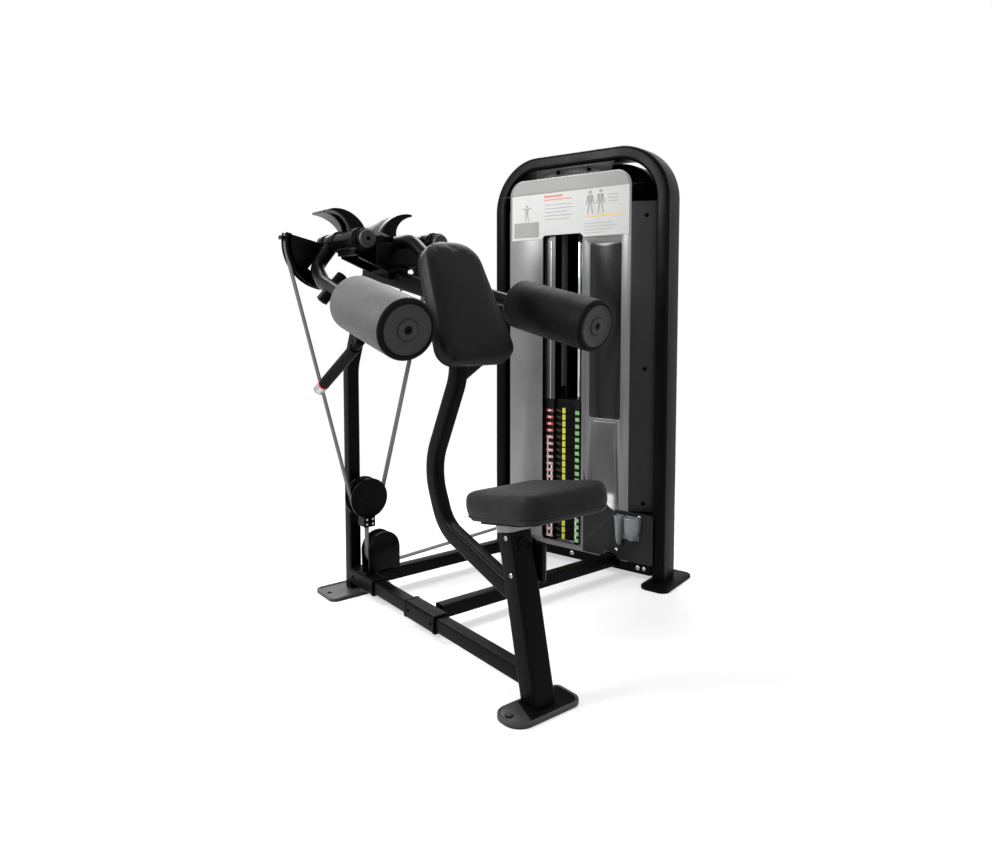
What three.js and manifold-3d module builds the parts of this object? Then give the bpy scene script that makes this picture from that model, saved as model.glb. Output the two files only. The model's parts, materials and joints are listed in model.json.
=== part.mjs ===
// Lateral raise machine: a seated station with two swinging arms, linked by belts to a weight tower.
// Sizes are millimetres. X runs from the seat to the tower, Y the way the user faces, and Z is up.
// Places are given from the foot of the seat post, and the finished machine is centred at the end.
import * as THREE from 'three';
import { mergeVertices } from 'three/addons/utils/BufferGeometryUtils.js';
import Module from 'manifold-3d';

const wasm = await Module();
wasm.setup();
const degree = Math.PI / 180;
const fullTurn = 2 * Math.PI;

// Shared sizes
const gap = 0.3; // between pieces that touch
const overrun = 30; // how far a cutter passes the face that it cuts
const turnStep = 15 * degree; // facet of a bend
const beltStep = 9 * degree; // facet of a belt round a pulley
const frameTube = { side: 42, corner: 7 };
const footPlate = { thickness: 12, corner: 26 };
const rodSides = 16;
const neckSides = 12;
const wheelSides = 20;
const boreSides = 12;
const tubeCornerSteps = 1; // facets of a tube's rounded corner

// Seat post, the seat on its carriage, and the release lever
const post = { width: 68, depth: 62, corner: 14, wall: 4, lean: 13 * degree, top: 430, boreFloor: 150 };
const postFoot = { back: -65, front: 50, left: -125, right: 100, rim: 9, recess: 4, bolt: 9, boltHeight: 9, boltInset: 24 };
const collar = { height: 18, proud: 3, liner: 5, linerDrop: 18, slack: 0.4 };
const carriage = {
  bottom: 205, plateThickness: 8, plateWidth: 180, plateBack: 65, plateFront: 130, top: 475, rackHole: 6, rackPitch: 25,
};
const seat = {
  halfRear: 142, halfFront: 124, halfDepth: 145, rise: 61, crown: 12, draw: 4, travel: 100, centreY: 7, tilt: 10 * degree,
};
const lockPin = { height: 395, boss: 19, bossLength: 26, pin: 7, knob: 15, knobLength: 16, travel: 8 };
const lever = { top: 398, bottom: 290, thickness: 6, width: 30, pivot: 7, stand: 8, offset: 14 };

// Floor frame between the station and the tower
const floorTube = { bottom: 40, frontEnd: 964 };
const sleeve = { wall: 6, endStart: 800, saddleStart: 430, saddleEnd: 600, screw: 7, screwHeight: 4, screwInset: 22 };
const rail = { frontY: 515, rearY: 897 };
const railBar = { width: 22, start: 488, end: 925, bottom: 35, top: 60 };

// Upright and the bent spine tube, drawn in the machine's middle plane
const upright = { y: 985, bendHeight: 785, bendRadius: 150, lean: 24.6 * degree, reach: 380, footX: 118, footBack: 75, footFront: 65 };
const spine = { depth: 50, width: 38, corner: 9 };
const spineBends = {
  start: [40, 245], low: [405, 360], knee: [476, 520], chest: [336, 800], neck: [345, 905], shoulder: [468, 1035], end: [855, 1111],
};
const spineRadii = [95, 125, 110, 110, 110];

// Chest pad
const chest = {
  bottomY: 236, bottomZ: 839, lean: 26.6 * degree, length: 371, halfBottom: 137, halfTop: 100, thickness: 59, crown: 8, draw: 3, squareness: 3.8,
};
const chestBoard = { thickness: 8, inset: 32, bracketWidth: 34, bracketLow: 40, bracketHigh: 130 };

// Head with the two arm bearings
const hub = { x: 127.5, z: 1188 };
const bearing = { radius: 30, start: 640, end: 800, collar: 34, collarStart: 652, collarLength: 42 };
const headPlate = { thickness: 10, frontY: 668, rearY: 776, foot: 1098, halfFoot: 34, window: 26, windowRise: 38 };
const shaft = { radius: 15, front: 622, rear: 952, cap: 26, capLength: 12, slack: 0.5 };

// Arms
const gooseneck = { radius: 21, hubRadius: 28, hubStart: 808, hubEnd: 862, bend: 62 };
const roller = { radius: 74, nearX: 302.5, nearY: 104.5, nearZ: 934, farX: 276, farY: 405.5, farZ: 997, edge: 9 };
const rollerCap = { radius: 60, thickness: 7, boss: 25, bossHeight: 4, hole: 10.5 };
const spigot = { radius: 12.5, tip: 9.5, tipLength: 13, stop: 30, stopThickness: 6 };
const elbow = { x: 252, y: 680, z: 1055, innerX: 205, innerZ: 1104 };
const crossBoss = { y: 600, radius: 17, length: 95 };
const grip = { x: 250, nearY: 440, nearZ: 892, farY: 704, farZ: 740, radius: 16.5, bore: 12, endBare: 36, flange: 20, flangeLength: 5 };
const gripBracket = { width: 34, thickness: 10, reach: 50 };

// Cams, counterweights and the belt plane
const beltY = 885; // plane of the cams, the floating pulley and the vertical belt
const belt = { width: 25, thickness: 3 };
const cam = {
  beltRadius: 141, width: 34, groove: 27, flange: 5, start: 168, end: 262, spill: 20, hub: 30, web: 10,
  windowInset: 34, windowStart: 192, windowEnd: 240, windowInner: 62, anchor: 176,
};
const counterweight = {
  outer: 108, inner: 84, start: 28, end: 98, taper: 5, webInset: 8, webSpread: 40, front: 808, rear: 965, webThickness: 12,
};

// Pulleys: belt radius is to the middle of the belt
const pulley = { width: 34, groove: 27, flange: 6, axle: 8, plateGap: 2, plateThickness: 6, rimWall: 9, webThickness: 12 };
const floating = { z: 348, beltRadius: 55, plateRadius: 67, clampLow: 250, clampHigh: 286, clampWidth: 40 };
const lowerPulley = { x: 55, z: 160, beltRadius: 55, plateRadius: 62, baseThickness: 5 };
const towerLow = { beltRadius: 50, z: 180, plateRadius: 46, baseThickness: 6 };
const towerHigh = { z: 1400, headReach: 44 };

// Weight tower: x is depth away from the user, y runs along its front to the left
const tower = { x: 865, y: 320, turn: 14.6 * degree, width: 747, height: 1563, tubeWidth: 49, tubeDepth: 98, tubeCorner: 12, bend: 200 };
const towerFoot = { front: 66, back: 71, outer: 40, inner: 16, thickness: 12, corner: 30 };
const crossbar = { bottom: 28, top: 70, bolt: 9, boltHeight: 7, boltY: [99, 377, 655], boltZ: 50 };
const shroud = {
  thickness: 4, right: 139, left: 669, bottom: 64, top: 1478, corner: 60, returnBottom: 252, returnTop: 1361, returnDepth: 45,
  railNotch: 30, notchTop: 86, slotRight: 338, slotLeft: 514, slotBottom: 84, slotTop: 1252, slotCorner: 14,
};
const beltSlot = { halfWidth: 20, halfHeight: 18 };
const windowPane = { right: 176, left: 304, bottom: 580, top: 1222, corner: 12, thickness: 3 };
const scoop = { right: 180, left: 300, bottom: 250, top: 566, depth: 26, wall: 4, corner: 16 };
const placard = { right: 166, left: 640, bottom: 1250, top: 1466, corner: 46, thickness: 2 };
const lowerCover = { right: 54, left: 192, bottom: 68, top: 250, corner: 14, thickness: 3 };
const pocket = { right: 92, left: 188, bottom: 149, top: 236, depth: 36, wall: 3, corner: 12 };
const topBracket = { lowRight: 232, lowLeft: 566, highRight: 214, highLeft: 540, bottom: 1471, thickness: 5, hole: 9, holeY: [320, 454], holeZ: 1495, x: 8 };
const rearShroud = { front: 54, back: 206, wall: 4, bottom: 72, top: 1508, corner: 178, chamfer: 62, relief: 14, reliefDrop: 42 };

// Weight stack
const stack = { x: 75, y: 465, width: 210, depth: 90, plate: 24, pitch: 26, count: 20, lifted: 15, core: 10, bore: 12 };
const stackBase = { thickness: 14 };
const guideRod = { radius: 9, spacing: 70, slack: 1 };
const stackHead = { plate: 34, neckWidth: 46, neckDepth: 30, neckHeight: 44, rod: 11 };
const selectorPin = { radius: 4, knob: 12, knobLength: 26, reach: 40, slack: 0.5, stand: 1 };
const riserBelt = { x: 160, y: 600 };

// Vectors and matrices
const vector = (x, y, z) => new THREE.Vector3(x, y, z);
const alongX = vector(1, 0, 0);
const alongY = vector(0, 1, 0);
const alongZ = vector(0, 0, 1);

// Solids
function toSolid(geometry) {
  const bare = geometry.clone();
  for (const name of Object.keys(bare.attributes)) {
    if (name !== 'position') bare.deleteAttribute(name);
  }
  const merged = mergeVertices(bare);
  const position = merged.attributes.position;
  const kept = [];
  let volume = 0;
  for (let i = 0; i < merged.index.count; i += 3) {
    const [a, b, c] = [0, 1, 2].map((step) => merged.index.getX(i + step));
    if (a === b || b === c || c === a) continue;
    kept.push(a, b, c);
    const [p, q, r] = [a, b, c].map((k) => vector(0, 0, 0).fromBufferAttribute(position, k));
    volume += p.dot(q.cross(r));
  }
  if (volume < 0) kept.reverse();
  return new wasm.Manifold(new wasm.Mesh({
    numProp: 3, vertProperties: new Float32Array(position.array), triVerts: Uint32Array.from(kept),
  }));
}

function fromSolid(manifold) {
  const mesh = manifold.getMesh();
  const geometry = new THREE.BufferGeometry();
  geometry.setAttribute('position', new THREE.BufferAttribute(mesh.vertProperties, mesh.numProp));
  geometry.setIndex(new THREE.BufferAttribute(mesh.triVerts, 1));
  geometry.computeVertexNormals();
  return geometry;
}

function join(...pieces) {
  return fromSolid(pieces.map(toSolid).reduce((whole, piece) => whole.add(piece)));
}

function cut(base, ...cutters) {
  return fromSolid(cutters.map(toSolid).reduce((whole, cutter) => whole.subtract(cutter), toSolid(base)));
}

function shared(base, other) {
  return fromSolid(toSolid(base).intersect(toSolid(other)));
}

// Shapes
function roundedRectangle(left, right, bottom, top, corner) {
  const shape = new THREE.Shape();
  shape.moveTo(left + corner, bottom);
  shape.lineTo(right - corner, bottom);
  shape.absarc(right - corner, bottom + corner, corner, -Math.PI / 2, 0);
  shape.lineTo(right, top - corner);
  shape.absarc(right - corner, top - corner, corner, 0, Math.PI / 2);
  shape.lineTo(left + corner, top);
  shape.absarc(left + corner, top - corner, corner, Math.PI / 2, Math.PI);
  shape.lineTo(left, bottom + corner);
  shape.absarc(left + corner, bottom + corner, corner, Math.PI, Math.PI * 1.5);
  return shape;
}

function polygon(points) {
  return new THREE.Shape(points.map(([a, b]) => new THREE.Vector2(a, b)));
}

// A prism whose outline lies in the plane of two directions and grows along their cross product
function prism(shape, thickness, origin, first, second, curveSegments = 2) {
  const geometry = new THREE.ExtrudeGeometry(shape, { depth: thickness, bevelEnabled: false, curveSegments });
  const third = vector(0, 0, 0).crossVectors(first, second);
  const place = new THREE.Matrix4().makeBasis(first, second, third).setPosition(origin);
  return geometry.applyMatrix4(place);
}

const slab = (shape, bottom, top, segments) => prism(shape, top - bottom, vector(0, 0, bottom), alongX, alongY, segments);
const crosswise = (shape, left, right, segments) => prism(shape, right - left, vector(left, 0, 0), alongY, alongZ, segments);
const lengthwise = (shape, start, end, segments) => prism(
  shape, end - start, vector(0, end, 0), alongX, alongZ, segments,
);

function block(left, right, back, front, bottom, top) {
  const geometry = new THREE.BoxGeometry(right - left, front - back, top - bottom);
  return geometry.translate((left + right) / 2, (back + front) / 2, (bottom + top) / 2);
}

function aligned(geometry, from, direction) {
  const turn = new THREE.Quaternion().setFromUnitVectors(alongY, direction.clone().normalize());
  return geometry.applyQuaternion(turn).translate(from.x, from.y, from.z);
}

function rod(from, to, radius, sides = rodSides) {
  const span = to.clone().sub(from);
  const length = span.length();
  return aligned(new THREE.CylinderGeometry(radius, radius, length, sides).translate(0, length / 2, 0), from, span);
}

// A turned piece: profile points are [radius, distance along the axis]
function turned(profile, from, direction, sides = rodSides) {
  const points = profile.map(([radius, along]) => new THREE.Vector2(radius, along));
  return aligned(new THREE.LatheGeometry(points, sides), from, direction);
}

function tubeSection(width, depth, corner) {
  const outline = roundedRectangle(-width / 2, width / 2, -depth / 2, depth / 2, corner);
  return outline.extractPoints(tubeCornerSteps).shape.slice(0, -1).map((point) => [point.x, point.y]);
}

function roundSection(radius, sides = rodSides) {
  return Array.from({ length: sides }, (_, i) => {
    const angle = fullTurn * i / sides;
    return [radius * Math.cos(angle), radius * Math.sin(angle)];
  });
}

// Corner points joined by straight runs, each inner corner rounded to its bend radius
function bentPath(corners, radii) {
  const path = [corners[0].clone()];
  for (let i = 1; i < corners.length - 1; i += 1) {
    const into = corners[i].clone().sub(corners[i - 1]).normalize();
    const out = corners[i + 1].clone().sub(corners[i]).normalize();
    const turn = into.angleTo(out);
    const radius = Array.isArray(radii) ? radii[i - 1] : radii;
    const inward = out.clone().addScaledVector(into, -into.dot(out)).normalize();
    const start = corners[i].clone().addScaledVector(into, -radius * Math.tan(turn / 2));
    const centre = start.clone().addScaledVector(inward, radius);
    const steps = Math.max(2, Math.ceil(turn / turnStep));
    for (let k = 0; k <= steps; k += 1) {
      const angle = turn * k / steps;
      path.push(centre.clone()
        .addScaledVector(inward, -radius * Math.cos(angle))
        .addScaledVector(into, radius * Math.sin(angle)));
    }
  }
  path.push(corners[corners.length - 1].clone());
  return path;
}

function arcPath(centre, radius, first, second, from, to) {
  const steps = Math.max(2, Math.ceil(Math.abs(to - from) / beltStep));
  return Array.from({ length: steps + 1 }, (_, i) => {
    const angle = from + (to - from) * i / steps;
    return centre.clone()
      .addScaledVector(first, radius * Math.cos(angle))
      .addScaledVector(second, radius * Math.sin(angle));
  });
}

// Side directions carried along a path that bends in space
function carriedSides(path, first) {
  const sides = [];
  let side = first.clone();
  for (let i = 0; i < path.length; i += 1) {
    const near = path[Math.max(i - 1, 0)];
    const far = path[Math.min(i + 1, path.length - 1)];
    const along = far.clone().sub(near).normalize();
    side = side.clone().addScaledVector(along, -side.dot(along)).normalize();
    sides.push(side);
  }
  return sides;
}

// A closed bar of one section along a path; the section's first number runs along the side direction
function sweep(section, path, sides) {
  const positions = [];
  const index = [];
  const count = section.length;
  const last = path.length - 1;
  path.forEach((point, i) => {
    const before = Math.max(i, 1);
    const after = Math.min(i, last - 1);
    const arriving = path[before].clone().sub(path[before - 1]).normalize();
    const leaving = path[after + 1].clone().sub(path[after]).normalize();
    const along = arriving.clone().add(leaving).normalize();
    const side = Array.isArray(sides) ? sides[i] : sides;
    const across = vector(0, 0, 0).crossVectors(along, side).normalize();
    const mitre = 1 / along.dot(arriving);
    for (const [a, b] of section) {
      const place = point.clone().addScaledVector(side, a).addScaledVector(across, b * mitre);
      positions.push(place.x, place.y, place.z);
    }
  });
  for (let i = 0; i < last; i += 1) {
    for (let k = 0; k < count; k += 1) {
      const next = (k + 1) % count;
      const [a, b, c, d] = [i * count + k, i * count + next, (i + 1) * count + next, (i + 1) * count + k];
      index.push(a, b, c, a, c, d);
    }
  }
  const flat = section.map(([a, b]) => new THREE.Vector2(a, b));
  for (const [a, b, c] of THREE.ShapeUtils.triangulateShape(flat, [])) {
    index.push(a, c, b);
    index.push(last * count + a, last * count + b, last * count + c);
  }
  const geometry = new THREE.BufferGeometry();
  geometry.setAttribute('position', new THREE.Float32BufferAttribute(positions, 3));
  geometry.setIndex(index);
  geometry.computeVertexNormals();
  return geometry;
}

const beltSection = [[-1, -1], [1, -1], [1, 1], [-1, 1]].map(([a, b]) => [a * belt.width / 2, b * belt.thickness / 2]);

// A closed form through rings of equal count, closed by a point at each end
function loft(firstPoint, rings, lastPoint) {
  const count = rings[0].length;
  const points = [firstPoint, ...rings.flat(), lastPoint];
  const index = [];
  const end = points.length - 1;
  for (let k = 0; k < count; k += 1) {
    const next = (k + 1) % count;
    index.push(0, 1 + next, 1 + k);
    for (let i = 0; i < rings.length - 1; i += 1) {
      const [low, high] = [1 + i * count, 1 + (i + 1) * count];
      index.push(low + k, low + next, high + next, low + k, high + next, high + k);
    }
    const top = 1 + (rings.length - 1) * count;
    index.push(top + k, top + next, end);
  }
  const geometry = new THREE.BufferGeometry();
  geometry.setAttribute('position', new THREE.Float32BufferAttribute(points.flatMap((p) => [p.x, p.y, p.z]), 3));
  geometry.setIndex(index);
  geometry.computeVertexNormals();
  return geometry;
}

// A cushion on its flat underside: sides draw in between the corners and the top is crowned
const cushionPoints = 32;
const cushionSquareness = 5;
const crownShares = [0.84, 0.68, 0.5, 0.32, 0.15];
const sideShares = [[0.16, 0], [0.05, 0.07], [0, 0.2], [0.02, 0.42], [0, 0.62], [0.06, 0.84], [0.2, 0.96], [0.4, 1]];

function cushion({ halfWidth, halfLength, rise, crown, draw, soften, taperShare = 0, squareness = cushionSquareness }) {
  const outline = Array.from({ length: cushionPoints }, (_, i) => {
    const angle = fullTurn * i / cushionPoints;
    const power = 2 / squareness;
    const drawn = draw * Math.cos(2 * angle) ** 2;
    const x = Math.sign(Math.cos(angle)) * Math.abs(Math.cos(angle)) ** power * (halfWidth - drawn);
    const y = Math.sign(Math.sin(angle)) * Math.abs(Math.sin(angle)) ** power * (halfLength - drawn);
    return [x * (1 - taperShare * (y / halfLength + 1) / 2), y];
  });
  const ring = (inset, height) => outline.map(([x, y]) => vector(
    x * (halfWidth - inset) / halfWidth, y * (halfLength - inset) / halfLength, height,
  ));
  const rings = sideShares.map(([insetShare, heightShare]) => ring(soften * insetShare, rise * heightShare));
  const edgeShare = (halfWidth - soften * sideShares.at(-1)[0]) / halfWidth;
  for (const share of crownShares) {
    rings.push(ring(halfWidth * (1 - share * edgeShare), rise + crown * (1 - share ** 2)));
  }
  return loft(vector(0, 0, 0), rings, vector(0, 0, rise + crown));
}

// Finishes
function finish(color, roughness, metalness = 0) {
  return new THREE.MeshStandardMaterial({ color, roughness, metalness });
}
const finishes = {
  blackFrame: finish(0x17181a, 0.45, 0.3),
  greyShroud: finish(0x5c5d5f, 0.4),
  greyPaint: finish(0x6a6b6c, 0.5, 0.2),
  darkPlastic: finish(0x26272a, 0.5),
  palePlastic: finish(0xb9babb, 0.5),
  clearPlastic: finish(0x9a9c9e, 0.25),
  smoked: finish(0x3c3e42, 0.1),
  chrome: finish(0xd5d8db, 0.15, 1),
  steel: finish(0x9fa2a6, 0.35, 1),
  castIron: finish(0x1f2022, 0.6, 0.4),
  vinyl: finish(0x202124, 0.55),
  foam: finish(0x3a3b3d, 0.8),
  rubber: finish(0x1b1b1c, 0.85),
  beltCover: finish(0x2b2c2e, 0.6),
  placardFace: finish(0xc9cacb, 0.4),
};

const machine = new THREE.Group();
const towerGroup = new THREE.Group();
towerGroup.position.set(tower.x, tower.y, 0);
towerGroup.rotation.z = tower.turn;
machine.add(towerGroup);

function add(name, geometry, material, parent = machine) {
  const mesh = new THREE.Mesh(geometry, material);
  mesh.name = name;
  parent.add(mesh);
  return mesh;
}

const towerPlace = new THREE.Matrix4().makeRotationZ(tower.turn).setPosition(tower.x, tower.y, 0);
const inTower = (geometry) => geometry.clone().applyMatrix4(towerPlace);

// Seat post: a leaning tube, level at its foot, with a square bore that the carriage slides in
const postBase = footPlate.thickness + gap;
const postSlope = Math.tan(post.lean);
const postCentre = (z) => (z - footPlate.thickness) * postSlope;

function leaning(geometry) {
  const shear = new THREE.Matrix4().set(
    1, 0, 0, 0,
    0, 1, postSlope, -footPlate.thickness * postSlope,
    0, 0, 1, 0,
    0, 0, 0, 1,
  );
  return geometry.applyMatrix4(shear);
}

function leaningTube(width, depth, corner, bottom, top) {
  return leaning(slab(roundedRectangle(-width / 2, width / 2, -depth / 2, depth / 2, corner), bottom, top, 3));
}

// The room above or below a plane square to the post, through its middle line at a height
function squareRoom(height, low, high) {
  const half = post.width;
  return block(-half, half, -half, half, low, high).rotateX(-post.lean).translate(0, postCentre(height), height);
}
const roomAbove = (height) => squareRoom(height, 0, post.width);
const roomBelow = (height) => squareRoom(height, -post.width, 0);

function squareTopped(width, depth, corner, bottom, top) {
  return cut(leaningTube(width, depth, corner, bottom, top + overrun), roomAbove(top));
}

const postBody = squareTopped(post.width, post.depth, post.corner, postBase, post.top);
const postKeepOut = leaningTube(post.width + 2 * gap, post.depth + 2 * gap, post.corner, 0, post.top + overrun);
const bore = { width: post.width - 2 * post.wall, depth: post.depth - 2 * post.wall, corner: post.corner - post.wall };

function buildPost() {
  const shaftBore = leaningTube(bore.width, bore.depth, bore.corner, post.boreFloor, post.top + overrun);
  const bossY = postCentre(lockPin.height) - post.depth / 2;
  const bossRoot = vector(0, bossY + post.wall, lockPin.height);
  const boss = rod(bossRoot, vector(0, bossY - lockPin.bossLength, lockPin.height), lockPin.boss);
  const pinBore = rod(
    vector(0, bossY + post.wall + overrun / 2, lockPin.height),
    vector(0, bossY - lockPin.bossLength - overrun, lockPin.height), lockPin.pin + gap,
  );
  const body = cut(join(postBody, boss), shaftBore);
  add('seat_post', cut(body, pinBore), finishes.blackFrame);
}

function buildPostFoot() {
  const { left, right, back, front, rim } = postFoot;
  const plate = slab(roundedRectangle(left, right, back, front, footPlate.corner), 0, footPlate.thickness);
  const recessCorner = footPlate.corner - rim;
  const tray = roundedRectangle(left + rim, right - rim, back + rim, front - rim, recessCorner);
  const recess = slab(tray, footPlate.thickness - postFoot.recess, footPlate.thickness + overrun);
  const pad = leaningTube(post.width + rim, post.depth + rim, post.corner, postFoot.recess, footPlate.thickness);
  const boltPlace = vector(left + postFoot.boltInset, (back + front) / 2, postFoot.recess);
  const boltTop = boltPlace.clone().setZ(footPlate.thickness + postFoot.boltHeight - postFoot.recess);
  const bolt = rod(boltPlace, boltTop, postFoot.bolt, 6);
  add('post_foot', join(cut(plate, recess), pad, bolt), finishes.greyPaint);
}

// Collar: a flange on the post's mouth with a liner that guides the carriage
const carriageTube = {
  width: bore.width - 2 * collar.liner, depth: bore.depth - 2 * collar.liner, corner: bore.corner - collar.liner / 2,
};

function buildCollar() {
  const flangeCorner = post.corner + collar.proud;
  const flange = cut(
    leaningTube(
      post.width + 2 * collar.proud, post.depth + 2 * collar.proud, flangeCorner, post.top - overrun, post.top + 2 * overrun,
    ),
    roomBelow(post.top + gap), roomAbove(post.top + collar.height),
  );
  const linerBottom = post.top - collar.linerDrop;
  const liner = leaningTube(
    bore.width - 2 * gap, bore.depth - 2 * gap, bore.corner, linerBottom, post.top + collar.height / 2,
  );
  const throat = leaningTube(
    carriageTube.width + 2 * collar.slack, carriageTube.depth + 2 * collar.slack, carriageTube.corner,
    linerBottom - overrun, post.top + collar.height + overrun,
  );
  add('post_collar', cut(join(flange, liner), throat), finishes.palePlastic);
}

// The seat and its plate tip a little towards the chest pad
function onSeat(geometry) {
  return geometry.rotateX(-seat.tilt).translate(0, seat.centreY, carriage.top);
}

function buildSeat() {
  const halfPlate = carriage.plateWidth / 2;
  const plate = onSeat(slab(roundedRectangle(
    -halfPlate, halfPlate, -carriage.plateBack, carriage.plateFront, footPlate.corner,
  ), -carriage.plateThickness, 0));
  const overPlate = onSeat(block(
    -halfPlate, halfPlate, -carriage.plateBack, carriage.plateFront + overrun, -carriage.plateThickness / 2, carriage.plateWidth,
  ));
  const tube = cut(
    leaningTube(carriageTube.width, carriageTube.depth, carriageTube.corner, carriage.bottom, carriage.top), overPlate,
  );
  const rackHoles = [];
  const rackLow = lockPin.height - seat.travel;
  for (let z = rackLow; z <= lockPin.height; z += carriage.rackPitch) {
    const face = postCentre(z) - carriageTube.depth / 2;
    rackHoles.push(rod(vector(0, face - overrun, z), vector(0, face + post.wall, z), carriage.rackHole, boreSides));
  }
  add('seat_carriage', cut(join(tube, plate), ...rackHoles), finishes.steel);
  const pad = cushion({
    halfWidth: seat.halfRear, halfLength: seat.halfDepth, rise: seat.rise, crown: seat.crown,
    draw: seat.draw, soften: seat.rise * 0.45, taperShare: 1 - seat.halfFront / seat.halfRear,
  }).translate(0, 0, gap);
  add('seat_pad', onSeat(pad), finishes.vinyl);
}

function buildLockPin() {
  const rear = postCentre(lockPin.height) - post.depth / 2;
  const tip = rear + post.wall - gap;
  const bossEnd = rear - lockPin.bossLength;
  const profile = [
    [0, 0], [lockPin.pin, 0], [lockPin.pin, tip - bossEnd + lockPin.travel],
    [lockPin.knob, tip - bossEnd + lockPin.travel], [lockPin.knob, tip - bossEnd + lockPin.travel + lockPin.knobLength],
    [0, tip - bossEnd + lockPin.travel + lockPin.knobLength],
  ];
  add('seat_lock_pin', turned(profile, vector(0, tip, lockPin.height), alongY.clone().negate()), finishes.chrome);
}

function buildLever() {
  const face = post.width / 2 + gap;
  const middle = postCentre((lever.top + lever.bottom) / 2);
  const halfWidth = lever.width / 2;
  const outline = roundedRectangle(-halfWidth, halfWidth, lever.bottom, lever.top, halfWidth * 0.8);
  const plate = crosswise(outline, face + lever.stand, face + lever.stand + lever.thickness);
  plate.translate(0, middle, 0);
  const pivotPlace = vector(face, middle, lever.top - halfWidth);
  const pivotEnd = pivotPlace.clone().setX(face + lever.stand + lever.thickness + lever.pivot / 2);
  add('seat_lever', join(plate, rod(pivotPlace, pivotEnd, lever.pivot)), finishes.darkPlastic);
}

// Floor frame
const floorTop = floorTube.bottom + frameTube.side;
const halfTube = frameTube.side / 2;

function buildFloorTube() {
  const outline = roundedRectangle(-halfTube, halfTube, floorTube.bottom, floorTop, frameTube.corner);
  add('front_tube', cut(lengthwise(outline, 0, floorTube.frontEnd - gap), postKeepOut), finishes.blackFrame);
}

function sleeveShell(start, end) {
  const outer = halfTube + sleeve.wall;
  const { wall } = sleeve;
  const { bottom } = floorTube;
  const outside = roundedRectangle(-outer, outer, bottom - wall, floorTop + wall, frameTube.corner + wall);
  const inside = roundedRectangle(-halfTube - gap, halfTube + gap, bottom - gap, floorTop + gap, frameTube.corner);
  const shell = cut(lengthwise(outside, start, end), lengthwise(inside, start - overrun, end + overrun));
  const screws = [start + sleeve.screwInset, end - sleeve.screwInset].map((y) => rod(
    vector(-outer + wall / 2, y, (bottom + floorTop) / 2),
    vector(-outer - sleeve.screwHeight, y, (bottom + floorTop) / 2), sleeve.screw, 8,
  ));
  return join(shell, ...screws);
}

function buildSleeves() {
  add('end_sleeve', sleeveShell(sleeve.endStart, floorTube.frontEnd - gap), finishes.blackFrame);
  add('saddle_clamp', sleeveShell(sleeve.saddleStart, sleeve.saddleEnd), finishes.blackFrame);
}

const sleeveFace = halfTube + sleeve.wall;
const railStart = sleeveFace + 2 * gap + railBar.width;

function buildRails() {
  const bar = block(sleeveFace + gap, railStart - gap, railBar.start, railBar.end, railBar.bottom, railBar.top);
  add('rail_bar', bar, finishes.blackFrame);
  const behindCrossbar = inTower(block(-gap, tower.x, -tower.width, 2 * tower.width, -overrun, floorTop + overrun));
  for (const [name, y] of [['rail_front', rail.frontY], ['rail_rear', rail.rearY]]) {
    const outline = roundedRectangle(y - halfTube, y + halfTube, floorTube.bottom, floorTop, frameTube.corner);
    add(name, cut(crosswise(outline, railStart, tower.x + overrun), behindCrossbar), finishes.blackFrame);
  }
}

// Spine and upright
const planePoint = ([y, z]) => vector(0, y, z);
const spineCorners = Object.values(spineBends).map(planePoint);
const spinePath = bentPath(spineCorners, spineRadii);
const spineBody = (extra) => sweep(
  tubeSection(spine.width + extra, spine.depth + extra, spine.corner), spinePath, alongX,
);

function buildSpine() {
  add('spine_tube', cut(spineBody(0), postKeepOut), finishes.blackFrame);
}

function buildUpright() {
  const corner = vector(0, upright.y, upright.bendHeight);
  const lean = vector(0, -Math.sin(upright.lean), Math.cos(upright.lean));
  const base = vector(0, upright.y, footPlate.thickness / 2);
  const path = bentPath([base, corner, corner.clone().addScaledVector(lean, upright.reach)], upright.bendRadius);
  const tube = sweep(tubeSection(frameTube.side, frameTube.side, frameTube.corner), path, alongX);
  const foot = slab(roundedRectangle(
    -upright.footX, upright.footX, upright.y - upright.footBack, upright.y + upright.footFront, footPlate.corner,
  ), 0, footPlate.thickness);
  const aboveBoom = spineBody(2 * gap);
  const [boomStart, boomEnd] = spineCorners.slice(-2);
  const boomUp = vector(0, 0, 0).crossVectors(alongX, boomEnd.clone().sub(boomStart)).normalize();
  const side = spine.depth * 4;
  const overBoom = prism(
    polygon([[-side, 0], [side, 0], [side, side], [-side, side]]), side * 2,
    boomEnd.clone().setX(-side), boomEnd.clone().sub(boomStart).normalize(), boomUp,
  );
  add('upright', cut(join(tube, foot), aboveBoom, overBoom), finishes.blackFrame);
}

// Chest pad, its board and the bracket on the spine
const chestUp = vector(0, Math.sin(chest.lean), Math.cos(chest.lean));
const chestFacing = vector(0, -Math.cos(chest.lean), Math.sin(chest.lean));

function onChest(geometry) {
  const middle = vector(0, chest.bottomY, chest.bottomZ).addScaledVector(chestUp, chest.length / 2);
  const place = new THREE.Matrix4().makeBasis(alongX, chestUp, chestFacing);
  return geometry.applyMatrix4(place.setPosition(middle.addScaledVector(chestFacing, -chest.thickness / 2)));
}

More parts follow.
